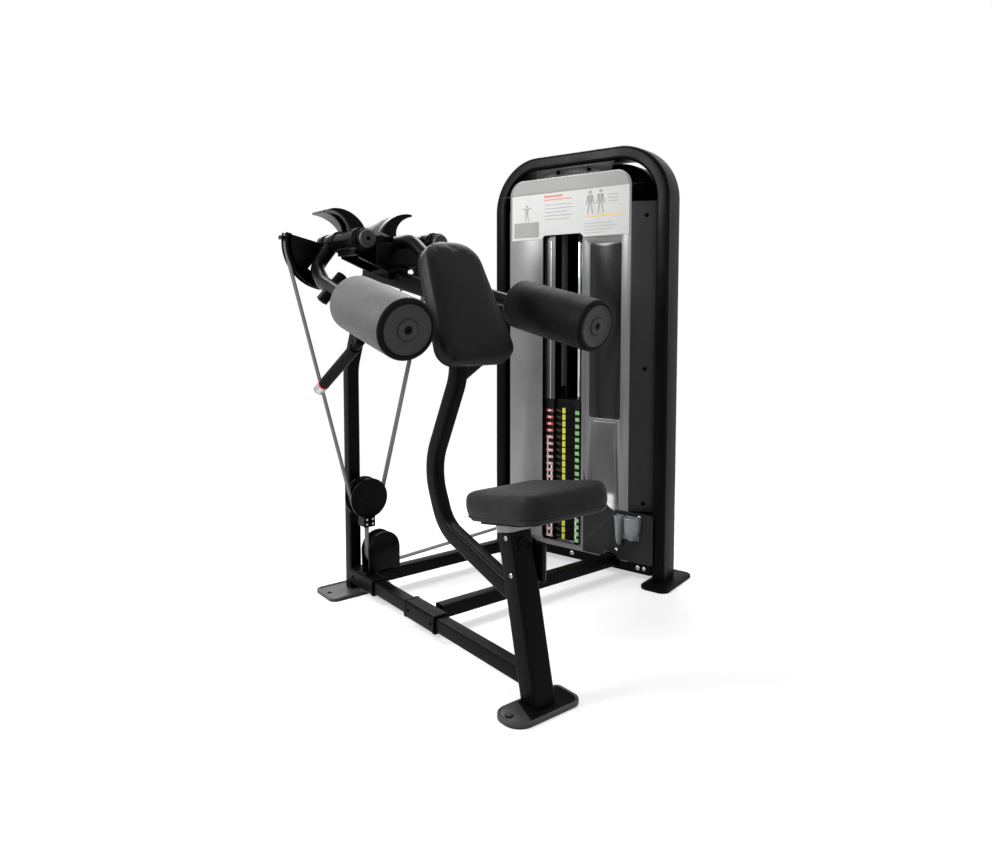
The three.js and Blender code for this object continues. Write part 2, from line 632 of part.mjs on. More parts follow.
function buildChestPad() {
  const taperShare = 1 - chest.halfTop / chest.halfBottom;
  const rise = chest.thickness - chest.crown;
  add('chest_pad', onChest(cushion({
    halfWidth: chest.halfBottom, halfLength: chest.length / 2, rise, crown: chest.crown,
    draw: chest.draw, soften: rise * 0.5, taperShare, squareness: chest.squareness,
  })), finishes.vinyl);
  const halfLength = chest.length / 2 - chestBoard.inset;
  const [wide, narrow] = [chest.halfBottom - chestBoard.inset, chest.halfTop - chestBoard.inset];
  const board = prism(
    polygon([[-wide, -halfLength], [wide, -halfLength], [narrow, halfLength], [-narrow, halfLength]]),
    chestBoard.thickness, vector(0, 0, -gap - chestBoard.thickness), alongX, alongY,
  );
  const halfBracket = chestBoard.bracketWidth / 2;
  const reach = chest.thickness + spine.depth;
  const bracket = block(
    -halfBracket, halfBracket, chestBoard.bracketLow - halfLength, chestBoard.bracketHigh - halfLength,
    -reach, -gap - chestBoard.thickness / 2,
  );
  const spineSide = onSpineSide();
  add('chest_pad_board', cut(onChest(join(board, bracket)), spineBody(2 * gap), spineSide), finishes.blackFrame);
}

// The room beyond the spine's middle line, which the pad's bracket doesn't reach into
function onSpineSide() {
  const behind = spinePath.map((point) => [point.y, point.z]);
  const far = upright.y;
  const outline = polygon([...behind, [far, behind.at(-1)[1]], [far, behind[0][1]]]);
  return crosswise(outline, -sleeveFace, sleeveFace);
}

// Head: two bearing tubes, held on the boom by a front and a rear plate
function buildHead() {
  const pieces = [];
  const bores = [];
  for (const x of [-hub.x, hub.x]) {
    pieces.push(rod(vector(x, bearing.start, hub.z), vector(x, bearing.end, hub.z), bearing.radius));
    const collarEnd = bearing.collarStart + bearing.collarLength;
    pieces.push(rod(vector(x, bearing.collarStart, hub.z), vector(x, collarEnd, hub.z), bearing.collar));
    bores.push(rod(
      vector(x, bearing.start - overrun, hub.z), vector(x, bearing.end + overrun, hub.z), shaft.radius + shaft.slack,
    ));
  }
  const { halfFoot, window, windowRise, foot } = headPlate;
  const shoulder = hub.z - bearing.radius * 0.4;
  const chin = foot + windowRise;
  for (const y of [headPlate.frontY, headPlate.rearY]) {
    const outline = polygon([
      [-halfFoot, foot], [halfFoot, foot], [hub.x, chin], [hub.x + bearing.radius / 2, shoulder],
      [hub.x, hub.z + bearing.radius / 2], [-hub.x, hub.z + bearing.radius / 2],
      [-hub.x - bearing.radius / 2, shoulder], [-hub.x, chin],
    ]);
    pieces.push(lengthwise(outline, y, y + headPlate.thickness));
  }
  const deck = block(
    -halfFoot, halfFoot, headPlate.frontY - headPlate.thickness, headPlate.rearY + headPlate.thickness * 2,
    foot - headPlate.thickness * 3, foot + headPlate.thickness * 1.4,
  );
  const sidePlate = [-hub.x, hub.x].map((x) => block(
    x - bearing.radius / 2, x + bearing.radius / 2, headPlate.frontY, headPlate.rearY + headPlate.thickness / 2,
    hub.z - bearing.radius * 1.5, hub.z - bearing.radius / 2,
  ));
  const windowLow = hub.z - windowRise;
  const windows = [-window * 2.1, 0, window * 2.1].map((x) => block(
    x - window / 2, x + window / 2, bearing.start, bearing.end, windowLow, windowLow + window,
  ));
  const body = join(...pieces, deck, ...sidePlate);
  add('head_housing', cut(body, ...bores, ...windows, spineBody(2 * gap), underBoom()), finishes.blackFrame);
}

// The room below the boom's middle line
function underBoom() {
  const line = spinePath.slice(-3).map((point) => [point.y, point.z]);
  const low = spineBends.chest[1];
  return crosswise(polygon([...line, [line.at(-1)[0], low], [line[0][0], low]].reverse()), -hub.x / 2, hub.x / 2);
}

const rollerSides = 20;

// Arms, built once for each side
function buildArm(side, name) {
  const at = (x, y, z) => vector(side * x, y, z);
  const near = at(roller.nearX, roller.nearY, roller.nearZ);
  const far = at(roller.farX, roller.farY, roller.farZ);
  const axis = far.clone().sub(near).normalize();
  const hubMiddle = (gooseneck.hubStart + gooseneck.hubEnd) / 2;
  const stopStart = far.clone().addScaledVector(axis, gap);
  const stopEnd = stopStart.clone().addScaledVector(axis, spigot.stopThickness);

  const neckPath = bentPath([
    stopStart.clone().addScaledVector(axis, spigot.stopThickness / 2), at(elbow.x, elbow.y, elbow.z),
    at(elbow.innerX, hubMiddle, elbow.innerZ), at(hub.x, hubMiddle, hub.z),
  ], gooseneck.bend);
  const neck = sweep(roundSection(gooseneck.radius, neckSides), neckPath, carriedSides(neckPath, alongZ));
  const hubSleeve = rod(at(hub.x, gooseneck.hubStart, hub.z), at(hub.x, gooseneck.hubEnd, hub.z), gooseneck.hubRadius);
  const hubBore = rod(
    at(hub.x, gooseneck.hubStart - overrun, hub.z), at(hub.x, gooseneck.hubEnd + overrun, hub.z), shaft.radius + gap / 2,
  );
  const tipStart = near.clone().addScaledVector(axis, rollerCap.thickness);
  const spigotBar = rod(tipStart, stopEnd, spigot.radius, neckSides);
  const tip = rod(near.clone().addScaledVector(axis, rollerCap.thickness - spigot.tipLength), tipStart.clone()
    .addScaledVector(axis, spigot.tip), spigot.tip, neckSides);
  const stop = rod(stopStart, stopEnd, spigot.stop);

  const alongNeck = (y) => far.clone().lerp(at(elbow.x, elbow.y, elbow.z), (y - far.y) / (elbow.y - far.y));
  const bossMiddle = alongNeck(crossBoss.y);
  const bossAxis = vector(0, 0, 0).crossVectors(axis, alongX).normalize();
  const boss = rod(
    bossMiddle.clone().addScaledVector(bossAxis, -crossBoss.length / 2),
    bossMiddle.clone().addScaledVector(bossAxis, crossBoss.length / 2), crossBoss.radius, neckSides,
  );
  const gripNear = at(grip.x, grip.nearY, grip.nearZ);
  const gripFar = at(grip.x, grip.farY, grip.farZ);
  const gripAxis = gripFar.clone().sub(gripNear).normalize();
  const gripRoot = gripNear.clone().addScaledVector(gripAxis, -gripBracket.thickness);
  const bracketTop = alongNeck(far.y + gripBracket.reach);
  const bracketPath = [gripNear.clone().addScaledVector(gripAxis, gripBracket.thickness / 2), bracketTop];
  const bracket = sweep(
    tubeSection(gripBracket.thickness, gripBracket.width, gripBracket.thickness / 4), bracketPath,
    carriedSides(bracketPath, alongX),
  );
  const core = rod(gripRoot, gripFar, grip.bore, neckSides);
  const arm = cut(join(neck, hubSleeve, spigotBar, tip, stop, boss, bracket, core), hubBore);
  add(`arm_tube_${name}`, arm, finishes.blackFrame);

  const gripStart = gripNear.clone().addScaledVector(gripAxis, gripBracket.width / 2 + gripBracket.thickness);
  const gripLength = gripFar.clone().sub(gripStart).length() - grip.endBare;
  const inner = grip.bore + gap;
  add(`grip_${name}`, turned([
    [inner, 0], [grip.flange, 0], [grip.flange, grip.flangeLength], [grip.radius, grip.flangeLength * 1.6],
    [grip.radius, gripLength - grip.flangeLength], [grip.flange, gripLength - grip.flangeLength],
    [grip.flange, gripLength], [inner, gripLength], [inner, 0],
  ], gripStart, gripAxis, 16), finishes.rubber);

  const { edge, radius } = roller;
  const length = far.distanceTo(near);
  const capSeat = rollerCap.thickness + gap;
  const foamBore = spigot.radius + gap;
  add(`roller_pad_${name}`, turned([
    [foamBore, capSeat], [rollerCap.radius + gap, capSeat], [rollerCap.radius + gap, edge / 4],
    [radius - edge, 0], [radius - edge / 4, edge / 4], [radius, edge],
    [radius, length - edge], [radius - edge / 4, length - edge / 4],
    [radius - edge, length], [foamBore, length], [foamBore, capSeat],
  ], near, axis, rollerSides), finishes.foam);
  add(`roller_cap_${name}`, turned([
    [rollerCap.hole, rollerCap.thickness], [rollerCap.hole, -rollerCap.bossHeight],
    [rollerCap.boss, -rollerCap.bossHeight], [rollerCap.boss, rollerCap.thickness / 3],
    [rollerCap.radius - edge, rollerCap.thickness / 3], [rollerCap.radius - edge / 2, 0], [rollerCap.radius, 0],
    [rollerCap.radius, rollerCap.thickness], [rollerCap.hole, rollerCap.thickness],
  ], near, axis, rollerSides), finishes.darkPlastic);

  const shaftFront = at(hub.x, shaft.front, hub.z);
  const shaftLength = shaft.rear - shaft.front;
  const profile = [
    [0, -shaft.capLength], [shaft.cap * 0.7, -shaft.capLength], [shaft.cap, -shaft.capLength * 0.7],
    [shaft.cap, 0], [shaft.radius, 0], [shaft.radius, shaftLength], [0, shaftLength],
  ];
  add(`arm_shaft_${name}`, turned(profile, shaftFront, alongY), finishes.chrome);
}

// Angles about an arm's hub run from straight inward, over the top, to the outside
function hubDirection(side, angle) {
  return vector(-side * Math.cos(angle * degree), 0, Math.sin(angle * degree));
}

function sectorPoints(side, radius, from, to, steps) {
  return Array.from({ length: steps + 1 }, (_, i) => {
    const place = hubDirection(side, from + (to - from) * i / steps).multiplyScalar(radius);
    return [side * hub.x + place.x, hub.z + place.z];
  });
}

function orderedPolygon(points) {
  const flat = points.map(([a, b]) => new THREE.Vector2(a, b));
  return new THREE.Shape(THREE.ShapeUtils.isClockWise(flat) ? flat.reverse() : flat);
}

const camFront = beltY - cam.width / 2;
const camRear = beltY + cam.width / 2;
const camSteps = 11;
const windowSteps = 6;

function buildCam(side, name) {
  const rim = cam.beltRadius - belt.thickness / 2 - 4 * gap;
  const outer = rim + cam.flange + belt.thickness;
  const hubCircle = rod(vector(side * hub.x, camFront, hub.z), vector(side * hub.x, camRear, hub.z), cam.hub);
  const sector = lengthwise(orderedPolygon([
    [side * hub.x, hub.z], ...sectorPoints(side, outer, cam.start, cam.end, camSteps),
  ]), camFront, camRear);
  const grooveDeep = cam.groove / 2;
  const ring = lengthwise(orderedPolygon([
    ...sectorPoints(side, rim, cam.start - cam.spill, cam.end + cam.spill, camSteps),
    ...sectorPoints(side, outer * 1.3, cam.start - cam.spill, cam.end + cam.spill, camSteps).reverse(),
  ]), beltY - grooveDeep, beltY + grooveDeep);
  const windowOuter = rim - cam.windowInset / 2;
  const windowCut = lengthwise(orderedPolygon([
    ...sectorPoints(side, windowOuter, cam.windowStart, cam.windowEnd, windowSteps),
    ...sectorPoints(side, cam.windowInner, cam.windowStart, cam.windowEnd, windowSteps).reverse(),
  ]), camFront - overrun, camRear + overrun);
  const shelf = (back, front) => lengthwise(orderedPolygon([
    ...sectorPoints(side, rim - cam.windowInset / 3, cam.start - cam.spill, cam.end + cam.spill, camSteps),
    ...sectorPoints(side, cam.hub + gap, cam.start - cam.spill, cam.end + cam.spill, camSteps).reverse(),
  ]), back, front);
  const webBack = beltY - cam.web / 2;
  const webFront = beltY + cam.web / 2;
  const thinned = cut(
    join(sector, hubCircle), ring, windowCut, shelf(camFront - overrun, webBack), shelf(webFront, camRear + overrun),
  );
  const boreCut = rod(
    vector(side * hub.x, camFront - overrun, hub.z), vector(side * hub.x, camRear + overrun, hub.z), shaft.radius + gap / 2,
  );
  const weight = buildCounterweight(side);
  add(`cam_${name}`, cut(join(thinned, weight), boreCut), finishes.blackFrame);
}

function buildCounterweight(side) {
  const { outer, inner, start, end, taper, webInset, webSpread, front, rear } = counterweight;
  const crescent = lengthwise(orderedPolygon([
    ...sectorPoints(side, outer, start, end, camSteps),
    ...sectorPoints(side, inner, start + taper, end - taper, camSteps).reverse(),
  ]), front, rear);
  const web = lengthwise(orderedPolygon([
    ...sectorPoints(side, (outer + inner) / 2, start + webInset, end - webInset, windowSteps),
    ...sectorPoints(side, cam.hub / 2, start - webSpread, end + webSpread, windowSteps).reverse(),
  ]), camFront, camFront + counterweight.webThickness);
  return join(crescent, web);
}

// Pulleys: a grooved wheel about the origin on the Y axis, and its side plates
function grooveRadius(beltRadius) {
  return beltRadius - belt.thickness / 2 - 2 * gap;
}

function wheel(beltRadius) {
  const groove = grooveRadius(beltRadius);
  const rim = groove + pulley.flange + belt.thickness;
  const [half, grooveHalf, webHalf] = [pulley.width / 2, pulley.groove / 2, pulley.webThickness / 2];
  const inner = groove - pulley.rimWall;
  const shoulder = groove - pulley.rimWall / 3;
  const hubRadius = pulley.axle * 2;
  return turned([
    [pulley.axle + gap / 2, -half], [hubRadius, -half], [inner, -webHalf], [shoulder, -half], [rim, -half],
    [groove, -grooveHalf], [groove, grooveHalf], [rim, half], [shoulder, half], [inner, webHalf], [hubRadius, half],
    [pulley.axle + gap / 2, half], [pulley.axle + gap / 2, -half],
  ], vector(0, 0, 0), alongY, wheelSides);
}

const plateInner = pulley.width / 2 + pulley.plateGap;
const plateOuter = plateInner + pulley.plateThickness;

function axleRod(extra) {
  return rod(vector(0, -plateOuter - extra, 0), vector(0, plateOuter + extra, 0), pulley.axle);
}

function pairOf(shape) {
  return [lengthwise(shape, -plateOuter, -plateInner), lengthwise(shape, plateInner, plateOuter)];
}

function discPair(radius) {
  const shape = new THREE.Shape();
  shape.absarc(0, 0, radius, 0, fullTurn);
  return [-plateInner, plateOuter].map((y) => prism(
    shape, pulley.plateThickness, vector(0, y, 0), alongX, alongZ, rodSides / 2,
  ));
}

function buildFloatingPulley() {
  const centre = vector(0, beltY, floating.z);
  add('floating_pulley', wheel(floating.beltRadius).translate(...centre.toArray()), finishes.darkPlastic);
  const half = floating.clampWidth / 2;
  const [low, high] = [floating.clampLow - floating.z, floating.clampHigh - floating.z];
  const legs = pairOf(polygon([[-half, low], [half, low], [half, 0], [-half, 0]]));
  const clamp = block(-half, half, -plateOuter, plateOuter, low, high);
  const carrier = join(...discPair(floating.plateRadius), ...legs, clamp, axleRod(pulley.axle / 2));
  add('floating_carrier', carrier.translate(...centre.toArray()), finishes.blackFrame);
}

// The lift belt leaves the station in a vertical plane turned a little towards the tower's belt
const riser = vector(riserBelt.x, riserBelt.y, 0).applyMatrix4(towerPlace);
const runTurn = Math.atan2(riser.y - beltY, riser.x);
const runLength = Math.hypot(riser.x, riser.y - beltY);
const runPlace = new THREE.Matrix4().makeRotationZ(runTurn).setPosition(0, beltY, 0);
const inRun = (geometry) => geometry.applyMatrix4(runPlace);

function buildLowerPulley() {
  const centre = [lowerPulley.x, 0, lowerPulley.z];
  add('lower_pulley', inRun(wheel(lowerPulley.beltRadius).translate(...centre)), finishes.darkPlastic);
  const floor = floorTop + sleeve.wall + gap;
  const base = block(
    -sleeveFace, sleeveFace, -plateOuter, plateOuter, floor, floor + lowerPulley.baseThickness,
  );
  const legs = pairOf(polygon([
    [-sleeveFace, floor], [sleeveFace, floor], [lowerPulley.x + halfTube, lowerPulley.z - halfTube],
    [lowerPulley.x, lowerPulley.z + halfTube], [-sleeveFace, floor + frameTube.side],
  ]));
  const plates = [...discPair(lowerPulley.plateRadius), axleRod(pulley.axle / 2)].map((piece) => piece.translate(...centre));
  add('lower_pulley_bracket', inRun(join(base, ...legs, ...plates)), finishes.blackFrame);
}

function buildTowerLowPulley() {
  const centre = [runLength - towerLow.beltRadius, 0, towerLow.z];
  add('tower_bottom_pulley', inRun(wheel(towerLow.beltRadius).translate(...centre)), finishes.darkPlastic);
  const floor = crossbar.top + gap;
  const [start, end] = [centre[0] - towerLow.plateRadius * 1.7, centre[0] - towerLow.plateRadius * 0.3];
  const base = block(start, end, -plateOuter, plateOuter, floor, floor + towerLow.baseThickness);
  const legs = pairOf(polygon([
    [start, floor], [end, floor], [centre[0] + halfTube, centre[2] - halfTube],
    [centre[0] + halfTube / 2, centre[2] + halfTube], [centre[0] - halfTube, centre[2] + halfTube / 2],
  ]));
  const plates = [...discPair(halfTube), axleRod(pulley.axle / 2)].map((piece) => piece.translate(...centre));
  add('bottom_pulley_bracket', inRun(join(base, ...legs, ...plates)), finishes.blackFrame);
}

// Top pulley: its plane joins the rising belt to the middle of the stack
const stackTop = vector(stack.x, stack.y, 0).applyMatrix4(towerPlace);
const topSpan = riser.clone().sub(stackTop);
const topRadius = topSpan.length() / 2;
const topMiddle = riser.clone().add(stackTop).multiplyScalar(0.5).setZ(towerHigh.z);
const topAlong = topSpan.clone().normalize();
const topPlace = new THREE.Matrix4()
  .makeBasis(topAlong, vector(0, 0, 0).crossVectors(alongZ, topAlong), alongZ).setPosition(topMiddle);
const hoopInnerTop = tower.height - tower.tubeWidth;

function buildTowerHighPulley() {
  add('tower_top_pulley', wheel(topRadius).applyMatrix4(topPlace), finishes.darkPlastic);
  const ceiling = hoopInnerTop - gap - towerHigh.z;
  const half = halfTube;
  const headStart = -half - towerHigh.headReach;
  const legs = pairOf(polygon([[-half, -half], [half, -half], [half, ceiling], [-half, ceiling]]));
  const head = block(headStart, half, -plateOuter, plateOuter, ceiling - towerLow.baseThickness, ceiling);
  add('top_pulley_bracket', join(...legs, head, axleRod(pulley.axle / 2)).applyMatrix4(topPlace), finishes.blackFrame);
}

// Belts
function outerTangent(from, fromRadius, to, toRadius) {
  const [dx, dz] = [from.x - to.x, from.z - to.z];
  const angle = Math.atan2(dx, dz) + Math.asin((fromRadius - toRadius) / Math.hypot(dx, dz));
  return vector(Math.cos(angle), 0, -Math.sin(angle));
}

function buildDriveBelt() {
  const camCentre = vector(hub.x, beltY, hub.z);
  const pulleyCentre = vector(0, beltY, floating.z);
  const normal = outerTangent(camCentre, cam.beltRadius, pulleyCentre, floating.beltRadius);
  const slope = Math.atan2(-normal.z, normal.x);
  const camEnd = Math.PI - cam.anchor * degree;
  const right = arcPath(camCentre, cam.beltRadius, alongX, alongZ, camEnd, -slope);
  const under = arcPath(pulleyCentre, floating.beltRadius, alongX, alongZ, -slope, slope - Math.PI);
  const left = right.map((point) => point.clone().setX(-point.x)).reverse();
  add('drive_belt', sweep(beltSection, [...right, ...under, ...left], alongY), finishes.beltCover);
}

function verticalBelt(place, bottom, top, side) {
  return sweep(beltSection, [place.clone().setZ(bottom), place.clone().setZ(top)], side);
}

function buildLiftBelt() {
  const runAlong = vector(Math.cos(runTurn), Math.sin(runTurn), 0);
  const runSide = vector(-Math.sin(runTurn), Math.cos(runTurn), 0);
  const start = vector(0, beltY, 0);
  add('lift_belt_lower', verticalBelt(start, lowerPulley.z + 2 * gap, floating.clampLow - gap, runSide), finishes.beltCover);

  const lowCentre = start.clone().addScaledVector(runAlong, lowerPulley.x).setZ(lowerPulley.z);
  const highCentre = start.clone().addScaledVector(runAlong, runLength - towerLow.beltRadius).setZ(towerLow.z);
  const spread = highCentre.clone().sub(lowCentre);
  const level = Math.hypot(spread.x, spread.y);
  const climb = Math.atan2(spread.z, level) + Math.asin((lowerPulley.beltRadius - towerLow.beltRadius) / spread.length());
  const firstArc = arcPath(lowCentre, lowerPulley.beltRadius, runAlong, alongZ, -Math.PI, -Math.PI / 2 + climb);
  const secondArc = arcPath(highCentre, towerLow.beltRadius, runAlong, alongZ, -Math.PI / 2 + climb, 0);
  const planar = [...firstArc, ...secondArc];
  const sides = planar.map(() => runSide);
  const topSide = vector(0, 0, 0).crossVectors(alongZ, topAlong);
  const twistAngle = runSide.angleTo(topSide);
  const twistStart = towerLow.z + towerLow.beltRadius * 2;
  const twistEnd = towerHigh.z - topRadius * 2;
  const twistSteps = 12;
  for (let i = 0; i <= twistSteps; i += 1) {
    planar.push(riser.clone().setZ(twistStart + (twistEnd - twistStart) * i / twistSteps));
    sides.push(runSide.clone().applyAxisAngle(alongZ, twistAngle * i / twistSteps));
  }
  const over = arcPath(topMiddle, topRadius, topAlong, alongZ, 0, Math.PI);
  planar.push(...over);
  sides.push(...over.map(() => topSide));
  add('lift_belt_run', sweep(beltSection, planar, sides), finishes.beltCover);

  const dropBottom = stackHeadTop + gap;
  add('lift_belt_drop', verticalBelt(stackTop, dropBottom, towerHigh.z - gap, topSide), finishes.beltCover);
}

// Tower frame and covers, in the tower's own axes
const innerRight = tower.tubeWidth + gap;
const innerLeft = tower.width - tower.tubeWidth - gap;

function buildTowerFrame() {
  const middle = tower.tubeDepth / 2;
  const half = tower.tubeWidth / 2;
  const base = towerFoot.thickness + gap;
  const corners = [
    vector(middle, half, base), vector(middle, half, tower.height - half),
    vector(middle, tower.width - half, tower.height - half), vector(middle, tower.width - half, base),
  ];
  const section = tubeSection(tower.tubeDepth, tower.tubeWidth, tower.tubeCorner);
  add('tower_hoop', sweep(section, bentPath(corners, tower.bend - half), alongX), finishes.blackFrame, towerGroup);
  const bolts = crossbar.boltY.map((y) => rod(
    vector(crossbar.boltHeight, y, crossbar.boltZ), vector(-crossbar.boltHeight, y, crossbar.boltZ), crossbar.bolt, 12,
  ));
  const bar = block(0, tower.tubeDepth, innerRight, innerLeft, crossbar.bottom, crossbar.top);
  add('tower_crossbar', join(bar, ...bolts), finishes.blackFrame, towerGroup);
  const feet = [
    ['right', -towerFoot.outer, tower.tubeWidth + towerFoot.inner],
    ['left', tower.width - tower.tubeWidth - towerFoot.inner, tower.width + towerFoot.outer],
  ];
  for (const [name, from, to] of feet) {
    const shape = roundedRectangle(-towerFoot.front, tower.tubeDepth + towerFoot.back, from, to, towerFoot.corner);
    add(`tower_foot_${name}`, slab(shape, 0, towerFoot.thickness), finishes.rubber, towerGroup);
  }
}

const panelFront = -gap - shroud.thickness;
const facing = (shape, back, thickness, segments) => prism(
  shape, thickness, vector(back, 0, 0), alongY, alongZ, segments,
);

function buildFrontShroud() {
  const outline = roundedRectangle(shroud.right, shroud.left, shroud.bottom, shroud.top, shroud.corner);
  const panel = join(
    facing(outline, panelFront, shroud.thickness, 6),
    facing(polygon([
      [shroud.right, shroud.bottom], [shroud.left, shroud.bottom],
      [shroud.left, shroud.bottom + 2 * shroud.corner], [shroud.right, shroud.bottom + 2 * shroud.corner],
    ]), panelFront, shroud.thickness),
  );
  const depth = shroud.returnDepth;
  const { thickness } = shroud;
  const returnShape = (edge, outer, sign) => orderedPolygon([
    [panelFront, edge], [panelFront + thickness, edge + sign * thickness * 2], [depth, outer + sign * thickness],
    [depth, outer], [panelFront, edge - sign * thickness / 2],
  ]);
  const returns = [
    slab(returnShape(shroud.right, innerRight, 1), shroud.returnBottom, shroud.returnTop),
    slab(returnShape(shroud.left, innerLeft, -1), shroud.returnBottom, shroud.returnTop),
  ];
  const through = (shape, segments) => facing(shape, panelFront - overrun, 2 * overrun, segments);
  const { slotRight, slotLeft, slotBottom, slotTop, slotCorner } = shroud;
  const slot = through(roundedRectangle(slotRight, slotLeft, slotBottom, slotTop, slotCorner));
  const paneHole = through(roundedRectangle(
    windowPane.right - gap, windowPane.left + gap, windowPane.bottom - gap, windowPane.top + gap, windowPane.corner,
  ));
  const scoopHole = through(scoopOutline(scoop.wall));
  const notches = [rail.frontY, rail.rearY].map((y) => {
    const centre = railCrossing(y);
    return through(polygon([
      [centre - shroud.railNotch, -overrun], [centre + shroud.railNotch, -overrun],
      [centre + shroud.railNotch, shroud.notchTop], [centre - shroud.railNotch, shroud.notchTop],
    ]));
  });
  const runEntry = runCrossing();
  const beltHole = through(roundedRectangle(
    runEntry.y - beltSlot.halfWidth, runEntry.y + beltSlot.halfWidth,
    runEntry.z - beltSlot.halfHeight, runEntry.z + beltSlot.halfHeight, beltSlot.halfHeight / 2,
  ));
  const opened = cut(join(panel, ...returns), slot, paneHole, scoopHole, ...notches, beltHole);
  add('front_shroud', join(opened, scoopShell()), finishes.greyShroud, towerGroup);
}

// Where a rail or the belt meets the tower's front, along the tower's y
function railCrossing(y) {
  return (y - tower.y) / Math.cos(tower.turn);
}

function runCrossing() {
  const back = Math.tan(tower.turn - runTurn);
  const lowZ = lowerPulley.z - lowerPulley.beltRadius;
  const highZ = towerLow.z - towerLow.beltRadius;
  const share = 1 - riserBelt.x / runLength;
  return { y: riserBelt.y + riserBelt.x * back, z: lowZ + (highZ - lowZ) * share };
}

// The scoop is a tray pressed into the panel, deepest at its foot
function scoopOutline(inset) {
  const { right, left, bottom, top, corner } = scoop;
  return roundedRectangle(right + inset, left - inset, bottom + inset, top - inset, corner - inset);
}

function scoopShell() {
  const back = panelFront + shroud.thickness;
  const outer = facing(scoopOutline(0), panelFront, scoop.depth);
  const inner = facing(scoopOutline(scoop.wall), panelFront - overrun, scoop.depth - scoop.wall + overrun);
  const wedgeTop = scoop.top + overrun;
  const slope = crosswiseTower(polygon([
    [back, wedgeTop], [panelFront + scoop.depth, scoop.bottom + scoop.depth], [panelFront + scoop.depth * 2, scoop.bottom],
    [panelFront + scoop.depth * 2, wedgeTop],
  ].reverse()), scoop.right - overrun, scoop.left + overrun);
  const innerSlope = slope.clone().translate(-scoop.wall, 0, 0);
  return cut(outer, slope, cut(inner, innerSlope));
}

function crosswiseTower(shape, from, to) {
  return prism(shape, to - from, vector(0, to, 0), alongX, alongZ);
}

function buildTowerCovers() {
  const pane = roundedRectangle(windowPane.right, windowPane.left, windowPane.bottom, windowPane.top, windowPane.corner);
  add('smoked_window', facing(pane, panelFront + gap, windowPane.thickness), finishes.smoked, towerGroup);
  const sign = roundedRectangle(placard.right, placard.left, placard.bottom, placard.top, placard.corner);
  const squareFoot = polygon([
    [placard.right, placard.bottom], [placard.left, placard.bottom],
    [placard.left, placard.bottom + 2 * placard.corner], [placard.right, placard.bottom + 2 * placard.corner],
  ]);
  const signBack = panelFront - gap - placard.thickness;
  add('info_placard', join(
    facing(sign, signBack, placard.thickness, 5), facing(squareFoot, signBack, placard.thickness),
  ), finishes.placardFace, towerGroup);
  const coverBack = panelFront - gap - lowerCover.thickness;
  const railCut = railCrossing(rail.frontY) - shroud.railNotch;
  const cover = roundedRectangle(
    lowerCover.right, Math.min(lowerCover.left, railCut), lowerCover.bottom, lowerCover.top, lowerCover.corner,
  );
  add('lower_cover', facing(cover, coverBack, lowerCover.thickness), finishes.greyShroud, towerGroup);
  const pocketFront = coverBack - gap - pocket.depth;
  const { right, left, bottom, top, wall, corner } = pocket;
  const outer = facing(roundedRectangle(right, left, bottom, top, corner), pocketFront, pocket.depth);
  const inner = facing(roundedRectangle(
    right + wall, left - wall, bottom + wall, top + overrun, corner - wall,
  ), pocketFront + wall, pocket.depth - 2 * wall);
  add('accessory_pocket', cut(outer, inner), finishes.clearPlastic, towerGroup);
  const bracketTop = hoopInnerTop - gap;
  const plate = polygon([
    [topBracket.lowRight, topBracket.bottom], [topBracket.lowLeft, topBracket.bottom],
    [topBracket.highLeft, bracketTop], [topBracket.highRight, bracketTop],
  ]);
  for (const y of topBracket.holeY) {
    const hole = new THREE.Path();
    hole.absarc(y, topBracket.holeZ, topBracket.hole, 0, fullTurn, true);
    plate.holes.push(hole);
  }
  add('top_bracket', facing(plate, topBracket.x, topBracket.thickness), finishes.blackFrame, towerGroup);
  buildRearShroud();
}

function buildRearShroud() {
  const { front, back, wall, bottom, top, corner, chamfer } = rearShroud;
  const form = (inset, open) => {
    const [right, left] = [innerRight + inset, innerLeft - inset];
    const [start, end] = [front - open, back - inset];
    const plan = polygon([
      [start, right], [end - chamfer, right], [end, right + chamfer], [end, left - chamfer], [end - chamfer, left],
      [start, left],
    ]);
    const arch = roundedRectangle(right, left, bottom - 2 * corner, top - inset, corner - inset);
    return shared(slab(plan, bottom - open, top - inset), facing(arch, start - overrun, back + 2 * overrun, 8));
  };
  const relief = rearShroud.relief;
  const topSlot = block(
    front - overrun, riserBelt.x + relief, stack.y - guideRod.spacing - relief, riserBelt.y + relief,
    top - rearShroud.reliefDrop, top + overrun,
  );
  add('rear_shroud', cut(form(0, 0), form(wall, overrun), topSlot), finishes.darkPlastic, towerGroup);
}

// Weight stack
const stackBottom = crossbar.top + gap + stackBase.thickness + gap;
const restingCount = stack.count - stack.lifted;
const plateEdges = {
  right: stack.y - stack.width / 2, left: stack.y + stack.width / 2,
  front: stack.x - stack.depth / 2, back: stack.x + stack.depth / 2,
};
const restingTop = stackBottom + restingCount * stack.pitch - (stack.pitch - stack.plate);
const liftedBottom = restingTop + gap;
const liftedTop = liftedBottom + stack.lifted * stack.pitch - (stack.pitch - stack.plate);
const stackHeadTop = liftedTop + gap + stackHead.plate + stackHead.neckHeight;

function stackColumns(bottom, top, radius, rodRadius) {
  const low = bottom - overrun;
  const high = top + overrun;
  const column = (y, r) => rod(vector(stack.x, y, low), vector(stack.x, y, high), r, boreSides);
  return [
    column(stack.y, radius),
    column(stack.y - guideRod.spacing, rodRadius), column(stack.y + guideRod.spacing, rodRadius),
  ];
}

const guideBore = guideRod.radius + guideRod.slack;

